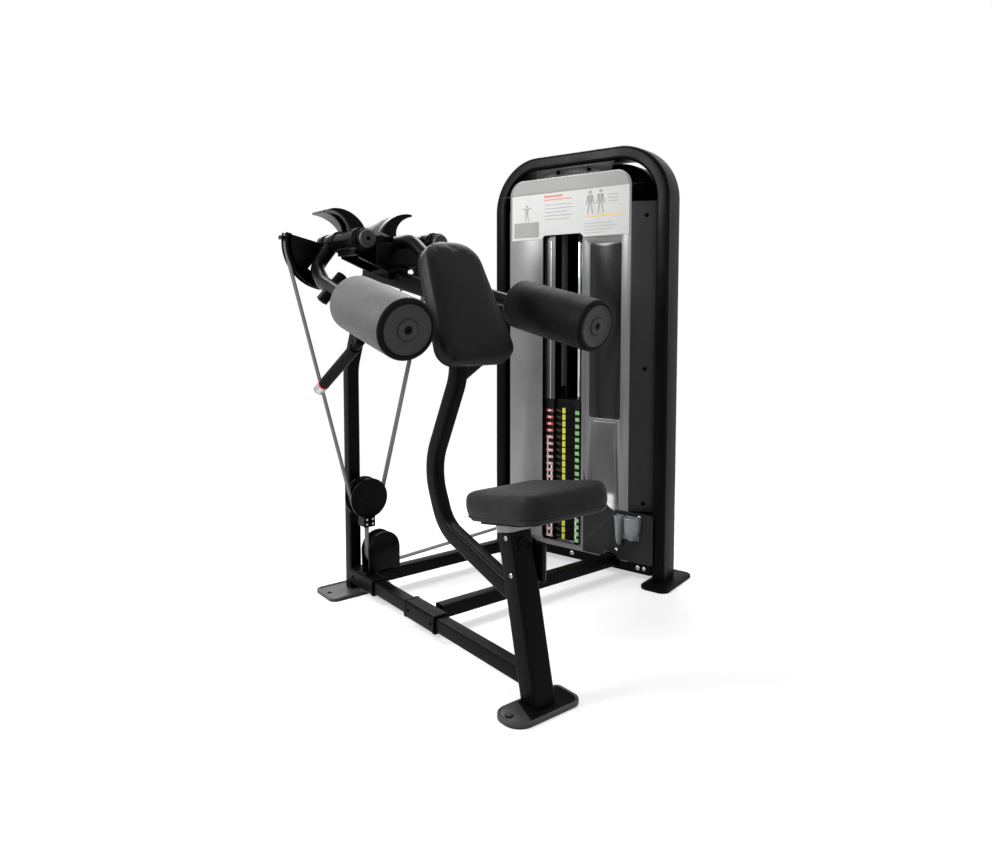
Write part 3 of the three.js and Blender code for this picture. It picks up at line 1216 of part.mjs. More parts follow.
function plates(count, bottom) {
  const top = bottom + count * stack.pitch - (stack.pitch - stack.plate);
  const { right, left, front, back } = plateEdges;
  const body = block(front, back, right, left, bottom, top);
  const grooves = [];
  for (let i = 1; i < count; i += 1) {
    const low = bottom + i * stack.pitch - (stack.pitch - stack.plate);
    const high = bottom + i * stack.pitch;
    const outside = block(front - overrun, back + overrun, right - overrun, left + overrun, low, high);
    const inside = block(
      front + stack.core, back - stack.core, right + stack.core, left - stack.core, low - overrun, high + overrun,
    );
    grooves.push(cut(outside, inside));
  }
  return cut(body, ...grooves, ...stackColumns(bottom, top, stack.bore, guideBore));
}

function buildStack() {
  const { right, left, front, back } = plateEdges;
  const baseFloor = crossbar.top + gap;
  const base = block(front, back, right, left, baseFloor, baseFloor + stackBase.thickness);
  const baseBores = stackColumns(baseFloor, baseFloor + stackBase.thickness, stack.bore, guideRod.radius + gap);
  add('stack_base', cut(base, ...baseBores), finishes.steel, towerGroup);
  add('weight_plates_resting', plates(restingCount, stackBottom), finishes.castIron, towerGroup);
  const pinHeight = liftedBottom + stack.plate / 2;
  const pinBore = rod(
    vector(front - overrun, stack.y, pinHeight), vector(front + selectorPin.reach + gap, stack.y, pinHeight),
    selectorPin.radius + selectorPin.slack, boreSides,
  );
  add('weight_plates_lifted', cut(plates(stack.lifted, liftedBottom), pinBore), finishes.castIron, towerGroup);

  const headBottom = liftedTop + gap;
  const head = block(front, back, right, left, headBottom, headBottom + stackHead.plate);
  const neck = block(
    stack.x - stackHead.neckDepth / 2, stack.x + stackHead.neckDepth / 2,
    stack.y - stackHead.neckWidth / 2, stack.y + stackHead.neckWidth / 2,
    headBottom + stackHead.plate / 2, stackHeadTop,
  );
  const [, ...guideBores] = stackColumns(headBottom, headBottom + stackHead.plate, stackHead.rod, guideBore);
  const selector = rod(
    vector(stack.x, stack.y, stackBottom), vector(stack.x, stack.y, headBottom + stackHead.plate / 2), stackHead.rod, boreSides,
  );
  const crossBore = rod(
    vector(stack.x - 2 * stackHead.rod, stack.y, pinHeight), vector(stack.x + 2 * stackHead.rod, stack.y, pinHeight),
    selectorPin.radius + selectorPin.slack, boreSides,
  );
  add('stack_head', join(cut(join(head, neck), ...guideBores), cut(selector, crossBore)), finishes.steel, towerGroup);

  const pinTip = vector(front + selectorPin.reach, stack.y, pinHeight);
  const shankLength = selectorPin.reach + selectorPin.stand;
  add('selector_pin', turned([
    [0, 0], [selectorPin.radius, 0], [selectorPin.radius, shankLength], [selectorPin.knob * 0.7, shankLength],
    [selectorPin.knob, shankLength + selectorPin.knob / 2], [selectorPin.knob, shankLength + selectorPin.knobLength],
    [0, shankLength + selectorPin.knobLength],
  ], pinTip, alongX.clone().negate()), finishes.chrome, towerGroup);

  const rodBottom = crossbar.top + gap;
  const rodTop = hoopInnerTop - gap;
  for (const [name, side] of [['right', -1], ['left', 1]]) {
    const y = stack.y + side * guideRod.spacing;
    const guide = rod(vector(stack.x, y, rodBottom), vector(stack.x, y, rodTop), guideRod.radius, boreSides);
    add(`guide_rod_${name}`, guide, finishes.chrome, towerGroup);
  }
}

buildPost();
buildPostFoot();
buildCollar();
buildSeat();
buildLockPin();
buildLever();
buildFloorTube();
buildSleeves();
buildRails();
buildSpine();
buildUpright();
buildChestPad();
buildHead();
for (const [side, name] of [[-1, 'left'], [1, 'right']]) {
  buildArm(side, name);
  buildCam(side, name);
}
buildFloatingPulley();
buildLowerPulley();
buildTowerLowPulley();
buildTowerHighPulley();
buildDriveBelt();
buildLiftBelt();
buildTowerFrame();
buildFrontShroud();
buildTowerCovers();
buildStack();

// The machine stands on the floor, centred on its own box
machine.updateMatrixWorld(true);
const box = new THREE.Box3().setFromObject(machine, true);
const centre = box.getCenter(vector(0, 0, 0));
machine.position.set(-centre.x, -centre.y, -box.min.z);

export default machine;
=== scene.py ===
import json
import math

import bmesh
import bpy
from mathutils import Matrix, Vector

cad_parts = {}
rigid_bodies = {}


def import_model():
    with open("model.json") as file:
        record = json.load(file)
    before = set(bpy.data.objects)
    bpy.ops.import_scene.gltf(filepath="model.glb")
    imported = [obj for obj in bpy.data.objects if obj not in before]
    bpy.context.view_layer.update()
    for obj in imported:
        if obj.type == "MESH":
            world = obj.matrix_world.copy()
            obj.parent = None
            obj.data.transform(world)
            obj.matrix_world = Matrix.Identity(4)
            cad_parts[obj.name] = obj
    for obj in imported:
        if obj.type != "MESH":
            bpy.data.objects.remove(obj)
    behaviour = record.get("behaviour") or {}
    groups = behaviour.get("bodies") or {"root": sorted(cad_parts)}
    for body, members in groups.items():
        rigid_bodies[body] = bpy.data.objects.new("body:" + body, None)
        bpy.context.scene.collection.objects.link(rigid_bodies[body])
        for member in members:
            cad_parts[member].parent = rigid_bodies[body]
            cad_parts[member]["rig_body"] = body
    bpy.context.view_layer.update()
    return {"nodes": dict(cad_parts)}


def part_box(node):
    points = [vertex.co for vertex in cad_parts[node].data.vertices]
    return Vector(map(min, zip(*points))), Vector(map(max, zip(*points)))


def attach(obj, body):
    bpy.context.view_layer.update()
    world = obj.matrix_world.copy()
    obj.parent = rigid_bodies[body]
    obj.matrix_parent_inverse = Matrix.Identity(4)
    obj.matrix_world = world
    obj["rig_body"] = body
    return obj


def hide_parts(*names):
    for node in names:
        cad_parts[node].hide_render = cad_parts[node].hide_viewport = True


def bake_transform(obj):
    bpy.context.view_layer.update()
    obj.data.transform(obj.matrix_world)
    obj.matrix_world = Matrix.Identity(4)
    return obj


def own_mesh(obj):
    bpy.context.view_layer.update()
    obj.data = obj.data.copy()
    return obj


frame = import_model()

print("frame loaded, with", len(frame["nodes"]), "nodes")

world = bpy.context.scene
collection = world.collection
alongX, alongY, alongZ = Vector((1, 0, 0)), Vector((0, 1, 0)), Vector((0, 0, 1))

# The station's own zero is the foot of the seat post, found again from the long floor tube
tubeLow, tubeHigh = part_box("front_tube")
floorTubeEnd = 0.9637
origin = Vector(((tubeLow.x + tubeHigh.x) / 2, tubeHigh.y - floorTubeEnd, 0))
stationMatrix = Matrix.Translation(origin)


def spot(x, y, z):
    return origin + Vector((x, y, z))


towerPlace = {"x": 0.865, "y": 0.320, "turn": 14.6}
towerMatrix = (Matrix.Translation(spot(towerPlace["x"], towerPlace["y"], 0))
               @ Matrix.Rotation(math.radians(towerPlace["turn"]), 4, "Z"))
towerX = towerMatrix.to_3x3() @ alongX
towerY = towerMatrix.to_3x3() @ alongY


def towerSpot(x, y, z):
    return towerMatrix @ Vector((x, y, z))


def newNode(nodes, kind, values):
    node = nodes.new("ShaderNode" + kind)
    for key, value in values.items():
        node.inputs[key].default_value = value
    return node


# Finishes: each is a material and the slot that it stands for
def surface(name, slotName, color, roughness, metallic=0.0, specular=0.5, toneAndReflection=0.08, toneAndReflectionSize=30.0,
            grain=0.1, grainScale=900.0, grainDepth=0.0004, roughSpread=0.06, cells=False, sheen=0.0,
            coat=0.0, transmission=0.0, stretch=(1, 1, 1)):
    material = bpy.data.materials.new(name)
    material.use_nodes = True
    nodes, links = material.node_tree.nodes, material.node_tree.links
    shader = nodes["Principled BSDF"]
    for key, value in (("Metallic", metallic), ("Specular IOR Level", specular), ("Sheen Weight", sheen),
                       ("Sheen Roughness", 0.4), ("Coat Weight", coat), ("Coat Roughness", 0.12),
                       ("Transmission Weight", transmission)):
        shader.inputs[key].default_value = value
    place = nodes.new("ShaderNodeTexCoord")
    scaled = newNode(nodes, "Mapping", {"Scale": stretch})
    links.new(place.outputs["Object"], scaled.inputs["Vector"])

    def noise(scale, detail):
        node = newNode(nodes, "TexNoise", {"Scale": scale, "Detail": detail})
        links.new(scaled.outputs["Vector"], node.inputs["Vector"])
        return node.outputs["Fac"]

    # colour varied by noise: random tone, and on the shroud painted reflection streaks
    colors = nodes.new("ShaderNodeValToRGB")
    for element, position, sign in zip(colors.color_ramp.elements, (0.3, 0.7), (-1, 1)):
        element.position = position
        element.color = [min(1, c * (1 + sign * toneAndReflection)) for c in color] + [1]
    links.new(noise(toneAndReflectionSize, 5), colors.inputs["Fac"])
    links.new(colors.outputs["Color"], shader.inputs["Base Color"])

    spread = newNode(nodes, "MapRange", {"From Min": 0.3, "From Max": 0.7,
                                         "To Min": max(0.02, roughness - roughSpread),
                                         "To Max": min(1, roughness + roughSpread)})
    links.new(noise(toneAndReflectionSize * 0.4, 6), spread.inputs["Value"])
    links.new(spread.outputs["Result"], shader.inputs["Roughness"])

    if cells:
        pores = newNode(nodes, "TexVoronoi", {"Scale": grainScale})
        pores.feature = "DISTANCE_TO_EDGE"
        links.new(scaled.outputs["Vector"], pores.inputs["Vector"])
        height = pores.outputs["Distance"]
    else:
        height = noise(grainScale, 3)
    bump = newNode(nodes, "Bump", {"Strength": grain, "Distance": grainDepth})
    links.new(height, bump.inputs["Height"])
    links.new(bump.outputs["Normal"], shader.inputs["Normal"])
    return {"material": material, "slot": slotName}


powderBlack = surface("powderBlack", "black_frame", (0.0018, 0.0018, 0.0019), 0.30, specular=0.05, grain=0.14,
                      grainScale=1400, grainDepth=0.0003)
headBlack = surface("headBlack", "black_frame", (0.0017, 0.0017, 0.0018), 0.27, specular=0.06, grain=0.12,
                    grainScale=1400, grainDepth=0.0003)
weightGrey = surface("weightGrey", "black_frame", (0.034, 0.034, 0.035), 0.36, specular=0.3, grain=0.12,
                     grainScale=1400, grainDepth=0.0003)
greyPaint = surface("greyPaint", "grey_paint", (0.045, 0.045, 0.047), 0.40, specular=0.3, grain=0.14, grainScale=1300)
# painted reflection: the strong colour variation, stretched upright, paints soft vertical reflection streaks into the
# shroud's colour
shroudGrey = surface("shroudGrey", "grey_shroud", (0.185, 0.185, 0.187), 0.34, metallic=0.7, toneAndReflection=0.36,
                     toneAndReflectionSize=2.1, grain=0.05, grainScale=1600, roughSpread=0.08, stretch=(1, 1, 0.55))
shroudSide = surface("shroudSide", "grey_shroud", (0.024, 0.024, 0.0245), 0.38, metallic=0.2, specular=0.18,
                     toneAndReflection=0.12, toneAndReflectionSize=4, grain=0.08, grainScale=1500)
scoopGrey = surface("scoopGrey", "grey_shroud", (0.120, 0.120, 0.122), 0.34, metallic=0.6, toneAndReflection=0.35,
                    toneAndReflectionSize=4, grain=0.03, grainScale=1200)
cheekGrey = surface("cheekGrey", "grey_shroud", (0.085, 0.085, 0.086), 0.3, metallic=0.5, toneAndReflection=0.35, toneAndReflectionSize=5,
                    grain=0.05, grainScale=1500, stretch=(1, 1, 0.5))
apronGrey = surface("apronGrey", "grey_shroud", (0.018, 0.018, 0.0184), 0.36, metallic=0.2, specular=0.15, toneAndReflection=0.4,
                    toneAndReflectionSize=5, grain=0.08, grainScale=1500)
coverGrey = surface("coverGrey", "grey_shroud", (0.0115, 0.0115, 0.012), 0.36, metallic=0.1, specular=0.12,
                    toneAndReflection=0.08, toneAndReflectionSize=8, grain=0.08, grainScale=1500)
darkPlastic = surface("darkPlastic", "dark_plastic", (0.0020, 0.0020, 0.0021), 0.42, specular=0.07, grain=0.2,
                      grainScale=1100, grainDepth=0.0003)
capPlastic = surface("capPlastic", "dark_plastic", (0.062, 0.062, 0.063), 0.40, specular=0.10, grain=0.16,
                     grainScale=1200, grainDepth=0.0003)
palePlastic = surface("palePlastic", "pale_plastic", (0.46, 0.46, 0.465), 0.4, grain=0.1, grainScale=1000)
clearPlastic = surface("clearPlastic", "clear_plastic", (0.42, 0.43, 0.44), 0.14, specular=0.4, transmission=0.5,
                       grain=0.03, grainScale=300)
smokedPane = surface("smokedPane", "smoked_pane", (0.006, 0.006, 0.0062), 0.20, specular=0.22, coat=0.10, toneAndReflection=0.5,
                     toneAndReflectionSize=7, grain=0.02, grainScale=60, roughSpread=0.05, stretch=(1, 1, 0.12))
placardWhite = surface("placardWhite", "placard_face", (0.62, 0.62, 0.615), 0.5, specular=0.2, toneAndReflection=0.015,
                       grain=0.04, grainScale=1200)
placardBand = surface("placardBand", "placard_face", (0.33, 0.33, 0.325), 0.5, specular=0.2, toneAndReflection=0.02,
                      grain=0.04, grainScale=1200)
placardInk, placardRed, placardYellow = [
    surface(name, "placard_face", color, 0.5, specular=0.2, toneAndReflection=0.03, grain=0.03) for name, color in (
        ("placardInk", (0.36, 0.37, 0.35)), ("placardRed", (0.72, 0.22, 0.16)), ("placardYellow", (0.72, 0.52, 0.20)))]
chrome = surface("chrome", "chrome", (0.72, 0.73, 0.74), 0.09, metallic=1.0, toneAndReflection=0.02, grain=0.02,
                 grainScale=400, roughSpread=0.03)
bareSteel = surface("bareSteel", "bare_steel", (0.45, 0.46, 0.47), 0.30, metallic=1.0, toneAndReflection=0.06,
                    toneAndReflectionSize=60, grain=0.06, grainScale=900)
castPlates = surface("castPlates", "cast_plates", (0.0026, 0.0026, 0.0027), 0.45, specular=0.08, grain=0.3,
                     grainScale=420, grainDepth=0.0007)
finGrey = surface("finGrey", "cast_plates", (0.045, 0.044, 0.042), 0.45, specular=0.3, grain=0.2, grainScale=420)
vinyl = surface("vinyl", "vinyl", (0.0160, 0.0160, 0.0165), 0.50, specular=0.08, toneAndReflection=0.10, toneAndReflectionSize=14,
                grain=0.34, grainScale=620, grainDepth=0.0005, cells=True, sheen=0.01)
# painted shade: a darker copy of the seat's vinyl, for the chest pad
chestVinylPaintedShade = surface("chestVinylPaintedShade", "vinyl", (0.0070, 0.0070, 0.0073), 0.44, specular=0.10, toneAndReflection=0.12,
                     toneAndReflectionSize=14, grain=0.34, grainScale=620, grainDepth=0.0005, cells=True, sheen=0.02)
vinylPiping = surface("vinylPiping", "vinyl", (0.005, 0.005, 0.0052), 0.5, specular=0.2, grain=0.2, grainScale=900)
foamSkin = surface("foamSkin", "foam", (0.066, 0.066, 0.067), 0.60, specular=0.25, toneAndReflection=0.10, toneAndReflectionSize=50,
                   grain=0.5, grainScale=1500, grainDepth=0.0006, sheen=0.08)
# painted shade: a darker copy of the same foam, for the right roller and for the near ends of both rollers
paintedShadeFoam = surface("paintedShadeFoam", "foam", (0.0070, 0.0070, 0.0073), 0.60, specular=0.05, toneAndReflection=0.10, toneAndReflectionSize=50,
                     grain=0.5, grainScale=1500, grainDepth=0.0006, sheen=0.0)
gripRubber = surface("gripRubber", "grip_rubber", (0.0022, 0.0022, 0.0022), 0.5, specular=0.05, grain=0.35,
                     grainScale=1600, grainDepth=0.0005)
ringRed = surface("ringRed", "grip_rubber", (0.75, 0.045, 0.03), 0.35, toneAndReflection=0.03, grain=0.05)
footRubber = surface("footRubber", "foot_rubber", (0.0018, 0.0018, 0.0018), 0.5, specular=0.05, grain=0.3,
                     grainScale=900, grainDepth=0.0005)
beltGrey = surface("beltGrey", "belt_cover", (0.075, 0.075, 0.073), 0.5, specular=0.3, toneAndReflection=0.12, toneAndReflectionSize=80,
                   grain=0.3, grainScale=1300, grainDepth=0.0004, stretch=(1, 1, 0.2))
labelBlack = surface("labelBlack", "black_frame", (0.003, 0.003, 0.003), 0.4, specular=0.15, grain=0.05)
labelRed, labelPink, labelWhite, labelYellow, labelGreen = [
    surface(name, "placard_face", color, 0.4, toneAndReflection=toneAndReflection, grain=0.03) for name, color, toneAndReflection in (
        ("labelRed", (0.72, 0.06, 0.08), 0.04), ("labelPink", (0.86, 0.34, 0.36), 0.04),
        ("labelWhite", (0.86, 0.82, 0.82), 0.03), ("labelYellow", (0.88, 0.84, 0.09), 0.04),
        ("labelGreen", (0.36, 0.74, 0.30), 0.04))]
shadowBlack = surface("shadowBlack", "black_frame", (0.001, 0.001, 0.001), 0.8, specular=0.05, grain=0.05)
print("finishes made")


# Mesh helpers
def addPiece(name, mesh, finish, body, replaced=(), bevel=0.0, segments=2, sharp=32):
    for polygon in mesh.polygons:
        polygon.use_smooth = True
    piece = bpy.data.objects.new(name, mesh)
    collection.objects.link(piece)
    mesh.materials.append(finish["material"])
    if bevel:
        edge = piece.modifiers.new("edges", "BEVEL")
        edge.width = bevel
        edge.segments = segments
        edge.limit_method = "ANGLE"
        edge.angle_limit = math.radians(sharp)
        edge.harden_normals = True
    else:
        mesh.set_sharp_from_angle(angle=math.radians(sharp))
    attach(piece, body)
    if replaced:
        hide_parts(*replaced)
    return piece


# One bmesh edit, run on a mesh in place
def edited(mesh, edit):
    form = bmesh.new()
    form.from_mesh(mesh)
    edit(form)
    form.to_mesh(mesh)
    form.free()
    return mesh


def merged(form):
    bmesh.ops.remove_doubles(form, verts=form.verts, dist=1e-6)


def mergedOutward(form):
    merged(form)
    bmesh.ops.recalc_face_normals(form, faces=form.faces)


def meshFrom(name, vertices, faces):
    mesh = bpy.data.meshes.new(name)
    mesh.from_pydata([tuple(v) for v in vertices], [], faces)
    return edited(mesh, mergedOutward)


def joinMeshes(name, parts):
    form = bmesh.new()
    for part in parts:
        form.from_mesh(part)
    mesh = bpy.data.meshes.new(name)
    form.to_mesh(mesh)
    form.free()
    return mesh


# A node's own mesh with its edges broken, for plates and castings whose CAD shape is right
def dress(node, finish, bevel=0.001):
    form = bmesh.new()
    form.from_mesh(frame["nodes"][node].data)
    bmesh.ops.remove_doubles(form, verts=form.verts, dist=2e-5)
    bmesh.ops.dissolve_limit(form, angle_limit=math.radians(0.8), verts=form.verts, edges=form.edges)
    mesh = bpy.data.meshes.new(node)
    form.to_mesh(mesh)
    form.free()
    return addPiece(node + "_skin", mesh, finish, frame["nodes"][node]["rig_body"], [node], bevel, sharp=30)


def roundedOutline(left, right, bottom, top, corner, steps=7):
    points = []
    radii = corner if isinstance(corner, tuple) else (corner,) * 4
    places = ((right, bottom, -1, 1, -90), (right, top, -1, -1, 0), (left, top, 1, -1, 90), (left, bottom, 1, 1, 180))
    for radius, (x, y, inX, inY, start) in zip(radii, places):
        for i in range(steps + 1):
            angle = math.radians(start + 90 * i / steps)
            points.append((x + radius * (inX + math.cos(angle)), y + radius * (inY + math.sin(angle))))
    return points


def circleOutline(x, y, radius, steps=32):
    return [(x + radius * math.cos(2 * math.pi * i / steps), y + radius * math.sin(2 * math.pi * i / steps))
            for i in range(steps)]


# A plate with any holes and softened edges; outlines lie in the plane of first and second
def plateMesh(name, outlines, thickness, place, first, second, soft=0.0008):
    curve = bpy.data.curves.new(name, "CURVE")
    curve.dimensions = "2D"
    curve.fill_mode = "BOTH"
    curve.extrude = max(thickness / 2 - soft, 1e-5)
    curve.bevel_depth = soft
    curve.bevel_resolution = 1
    curve.offset = -soft
    for outline in outlines:
        spline = curve.splines.new("POLY")
        spline.points.add(len(outline) - 1)
        for point, (a, b) in zip(spline.points, outline):
            point.co = (a, b, 0, 1)
        spline.use_cyclic_u = True
    holder = bpy.data.objects.new(name, curve)
    collection.objects.link(holder)
    bpy.context.view_layer.update()
    mesh = bpy.data.meshes.new_from_object(holder.evaluated_get(bpy.context.evaluated_depsgraph_get()))
    bpy.data.objects.remove(holder)
    turn = Matrix((first, second, first.cross(second))).transposed().to_4x4()
    mesh.transform(Matrix.Translation(place) @ turn @ Matrix.Translation((0, 0, thickness / 2)))
    return edited(mesh, merged)


def plate(name, outlines, thickness, place, first, second, finish, body, replaced=(), soft=0.0008):
    mesh = plateMesh(name, outlines, thickness, place, first, second, soft)
    return addPiece(name, mesh, finish, body, replaced, sharp=28)


def floorPlate(name, outlines, thickness, level, finish, replaced=(), soft=0.0008):
    return plate(name, outlines, thickness, spot(0, 0, level), alongX, alongY, finish, "root", replaced, soft)


def boxMesh(name, low, high, matrix=None):
    corners = [Vector((x, y, z)) for x in (low[0], high[0]) for y in (low[1], high[1]) for z in (low[2], high[2])]
    faces = [(0, 1, 3, 2), (4, 6, 7, 5), (0, 4, 5, 1), (2, 3, 7, 6), (0, 2, 6, 4), (1, 5, 7, 3)]
    mesh = meshFrom(name, corners, faces)
    if matrix:
        mesh.transform(matrix)
    return mesh


def boxPiece(name, low, high, matrix, finish, body, replaced=(), bevel=0.0, segments=2):
    return addPiece(name, boxMesh(name, low, high, matrix), finish, body, replaced, bevel, segments)


# A bent line: corners joined by straight runs, each inner corner rounded to its radius
def bentPath(corners, radii, step=3.0):
    path = [corners[0].copy()]
    for i in range(1, len(corners) - 1):
        arriving = (corners[i] - corners[i - 1]).normalized()
        leaving = (corners[i + 1] - corners[i]).normalized()
        turn = arriving.angle(leaving)
        radius = radii[i - 1] if isinstance(radii, (list, tuple)) else radii
        inward = (leaving - arriving * arriving.dot(leaving)).normalized()
        start = corners[i] - arriving * radius * math.tan(turn / 2)
        centre = start + inward * radius
        steps = max(3, math.ceil(math.degrees(turn) / step))
        for k in range(steps + 1):
            angle = turn * k / steps
            path.append(centre - inward * radius * math.cos(angle) + arriving * radius * math.sin(angle))
    path.append(corners[-1].copy())
    return path


def carriedSides(path, first):
    sides, side = [], first.copy()
    for i in range(len(path)):
        along = (path[min(i + 1, len(path) - 1)] - path[max(i - 1, 0)]).normalized()
        side = (side - along * side.dot(along)).normalized()
        sides.append(side.copy())
    return sides


# A bar of one section along a line; the section's first number runs along the side direction
def sweepMesh(name, section, path, sides):
    vertices, faces, count = [], [], len(section)
    for i, point in enumerate(path):
        arriving = (path[max(i, 1)] - path[max(i, 1) - 1]).normalized()
        leaving = (path[min(i, len(path) - 2) + 1] - path[min(i, len(path) - 2)]).normalized()
        along = (arriving + leaving).normalized()
        side = sides[i] if isinstance(sides, list) else sides
        across = along.cross(side).normalized()
        mitre = 1 / along.dot(arriving)
        vertices += [point + side * a + across * b * mitre for a, b in section]
    for i in range(len(path) - 1):
        for k in range(count):
            following = (k + 1) % count
            faces.append((i * count + k, i * count + following, (i + 1) * count + following, (i + 1) * count + k))
    last = (len(path) - 1) * count
    faces.append(tuple(range(count))[::-1])
    faces.append(tuple(last + k for k in range(count)))
    return meshFrom(name, vertices, faces)


def sweptPiece(name, section, path, sides, finish, body, replaced=(), bevel=0.0):
    return addPiece(name, sweepMesh(name, section, path, sides), finish, body, replaced, bevel, sharp=50)


def tubeSection(width, depth, corner, steps=5):
    return roundedOutline(-width / 2, width / 2, -depth / 2, depth / 2, corner, steps)


def roundSection(radius):
    return circleOutline(0, 0, radius, 36)


def sideOf(axis):
    helper = alongX if abs(axis.x) < 0.8 else alongZ
    return axis.cross(helper).normalized()


# A turned piece: profile points are (radius, distance along the axis)
def turnedMesh(name, profile, start, axis, steps=48):
    axis = axis.normalized()
    first = sideOf(axis)
    second = axis.cross(first)
    closed = profile[0] == profile[-1]
    points = profile[:-1] if closed else profile
    vertices, rings, faces = [], [], []
    for radius, along in points:
        ring = []
        for i in range(steps if radius > 0 else 1):
            angle = 2 * math.pi * i / steps
            ring.append(len(vertices))
            vertices.append(start + axis * along + (first * math.cos(angle) + second * math.sin(angle)) * radius)
        rings.append(ring)
    pairs = list(zip(rings, rings[1:])) + ([(rings[-1], rings[0])] if closed else [])
    for near, far in pairs:
        for i in range(steps):
            j = (i + 1) % steps
            corners = [near[i % len(near)], near[j % len(near)], far[j % len(far)], far[i % len(far)]]
            kept = [c for k, c in enumerate(corners) if c not in corners[:k]]
            if len(kept) > 2:
                faces.append(tuple(kept))
    return meshFrom(name, vertices, faces)


def turnedPiece(name, profile, start, axis, finish, body, replaced=(), steps=48, sharp=32, bevel=0.0):
    mesh = turnedMesh(name, profile, start, axis, steps)
    return addPiece(name, mesh, finish, body, replaced, bevel=bevel, sharp=sharp)


# A plain disc between two distances along the axis
def disc(name, radius, low, high, place, axis, finish, body, steps=32):
    turnedPiece(name, [(0, low), (radius, low), (radius, high), (0, high)], place, axis, finish, body, steps=steps)


# A plain ring, given by its two radii
def ringPiece(name, inner, outer, low, high, place, axis, finish, body, steps=48):
    profile = [(inner, low), (outer, low), (outer, high), (inner, high), (inner, low)]
    turnedPiece(name, profile, place, axis, finish, body, steps=steps)


def rod(name, start, end, radius, finish, body, edge=0.001, replaced=(), steps=40):
    length = (end - start).length
    profile = [(0, 0), (radius - edge, 0), (radius - edge * 0.3, edge * 0.3), (radius, edge), (radius, length - edge),
               (radius - edge * 0.3, length - edge * 0.3), (radius - edge, length), (0, length)]
    return turnedPiece(name, profile, start, end - start, finish, body, replaced, steps, sharp=50)


# A button-head screw with its hexagon socket
def screw(name, place, axis, radius, body, finish, height=0.5):
    axis = axis.normalized()
    dome = [(0, -radius * 0.3), (radius, -radius * 0.3), (radius, radius * height * 0.4),
            (radius * 0.8, radius * height * 0.8), (radius * 0.5, radius * height), (0, radius * height)]
    turnedPiece(name, dome, place, axis, finish, body, steps=28)
    disc(name + "_socket", radius * 0.42, radius * height * 0.6, radius * height * 1.04, place, axis, shadowBlack,
         body, 6)


# Camera and light
view = {"x": -1.1795, "y": -1.3472, "z": 0.982, "pitch": 3.88, "azimuth": 38.16, "lens": 27.04, "shiftX": -0.0038,
        "shiftY": -0.0665}
lamps = {"keyLight": {"place": (-2.5, 0.9, 2.3), "size": (0.9, 1.3), "power": 104},
         "topLight": {"place": (1.3, 1.2, 3.5), "size": (1.6, 1.6), "power": 112},
         "frontLight": {"place": (-1.4, -3.6, 1.6), "size": (1.4, 1.4), "power": 16},
         "rightLight": {"place": (3.4, -1.8, 2.0), "size": (0.8, 2.2), "power": 26},
         "backLight": {"place": (0.6, 3.6, 2.8), "size": (1.6, 1.2), "power": 34}}
light = {"world": 0.34, "floorGlow": 0.52, "floorPaint": 0.56, "bounce": 0.40, "fadeStart": 1.25, "fadeEnd": 2.3}


def makeCamera():
    data = bpy.data.cameras.new("camera")
    data.sensor_width = 36
    data.lens = view["lens"]
    data.shift_x = view["shiftX"]
    data.shift_y = view["shiftY"]
    camera = bpy.data.objects.new("camera", data)
    camera.location = spot(view["x"], view["y"], view["z"])
    camera.rotation_euler = (math.radians(90 - view["pitch"]), 0, math.radians(-view["azimuth"]))
    collection.objects.link(camera)
    world.camera = camera


def areaLight(name, lamp, target):
    data = bpy.data.lights.new(name, "AREA")
    data.shape = "RECTANGLE"
    data.size, data.size_y = lamp["size"]
    data.energy = lamp["power"]
    holder = bpy.data.objects.new(name, data)
    holder.location = lamp["place"]
    holder.rotation_euler = (target - Vector(lamp["place"])).to_track_quat("-Z", "Y").to_euler()
    collection.objects.link(holder)


# One for rays that come from the camera or through glass or gloss, and zero for the rest
def seenDirectly(nodes, links):
    paths = nodes.new("ShaderNodeLightPath")
    total = paths.outputs["Is Camera Ray"]
    for name in ("Is Transmission Ray", "Is Glossy Ray"):
        either = nodes.new("ShaderNodeMath")
        either.operation = "MAXIMUM"
        links.new(total, either.inputs[0])
        links.new(paths.outputs[name], either.inputs[1])
        total = either.outputs[0]
    return total


def mixed(nodes, links, share, first, second, output=None):
    mix = nodes.new("ShaderNodeMixShader")
    for source, number in ((share, 0), (first, 1), (second, 2)):
        links.new(source, mix.inputs[number])
    if output:
        links.new(mix.outputs[0], output.inputs["Surface"])
    return mix.outputs[0]


def makeLights():
    for name, lamp in lamps.items():
        areaLight(name, lamp, Vector((0, 0, 0.8)))
    sky = bpy.data.worlds.new("sky")
    sky.use_nodes = True
    nodes, links = sky.node_tree.nodes, sky.node_tree.links
    plain = nodes["Background"]
    plain.inputs["Strength"].default_value = light["world"]
    plain.inputs["Color"].default_value = (1, 1, 1, 1)
    seen = newNode(nodes, "Background", {"Color": (1, 1, 1, 1), "Strength": 1})
    mixed(nodes, links, seenDirectly(nodes, links), plain.outputs[0], seen.outputs[0], nodes["World Output"])
    world.world = sky
    world.view_settings.view_transform = "Standard"


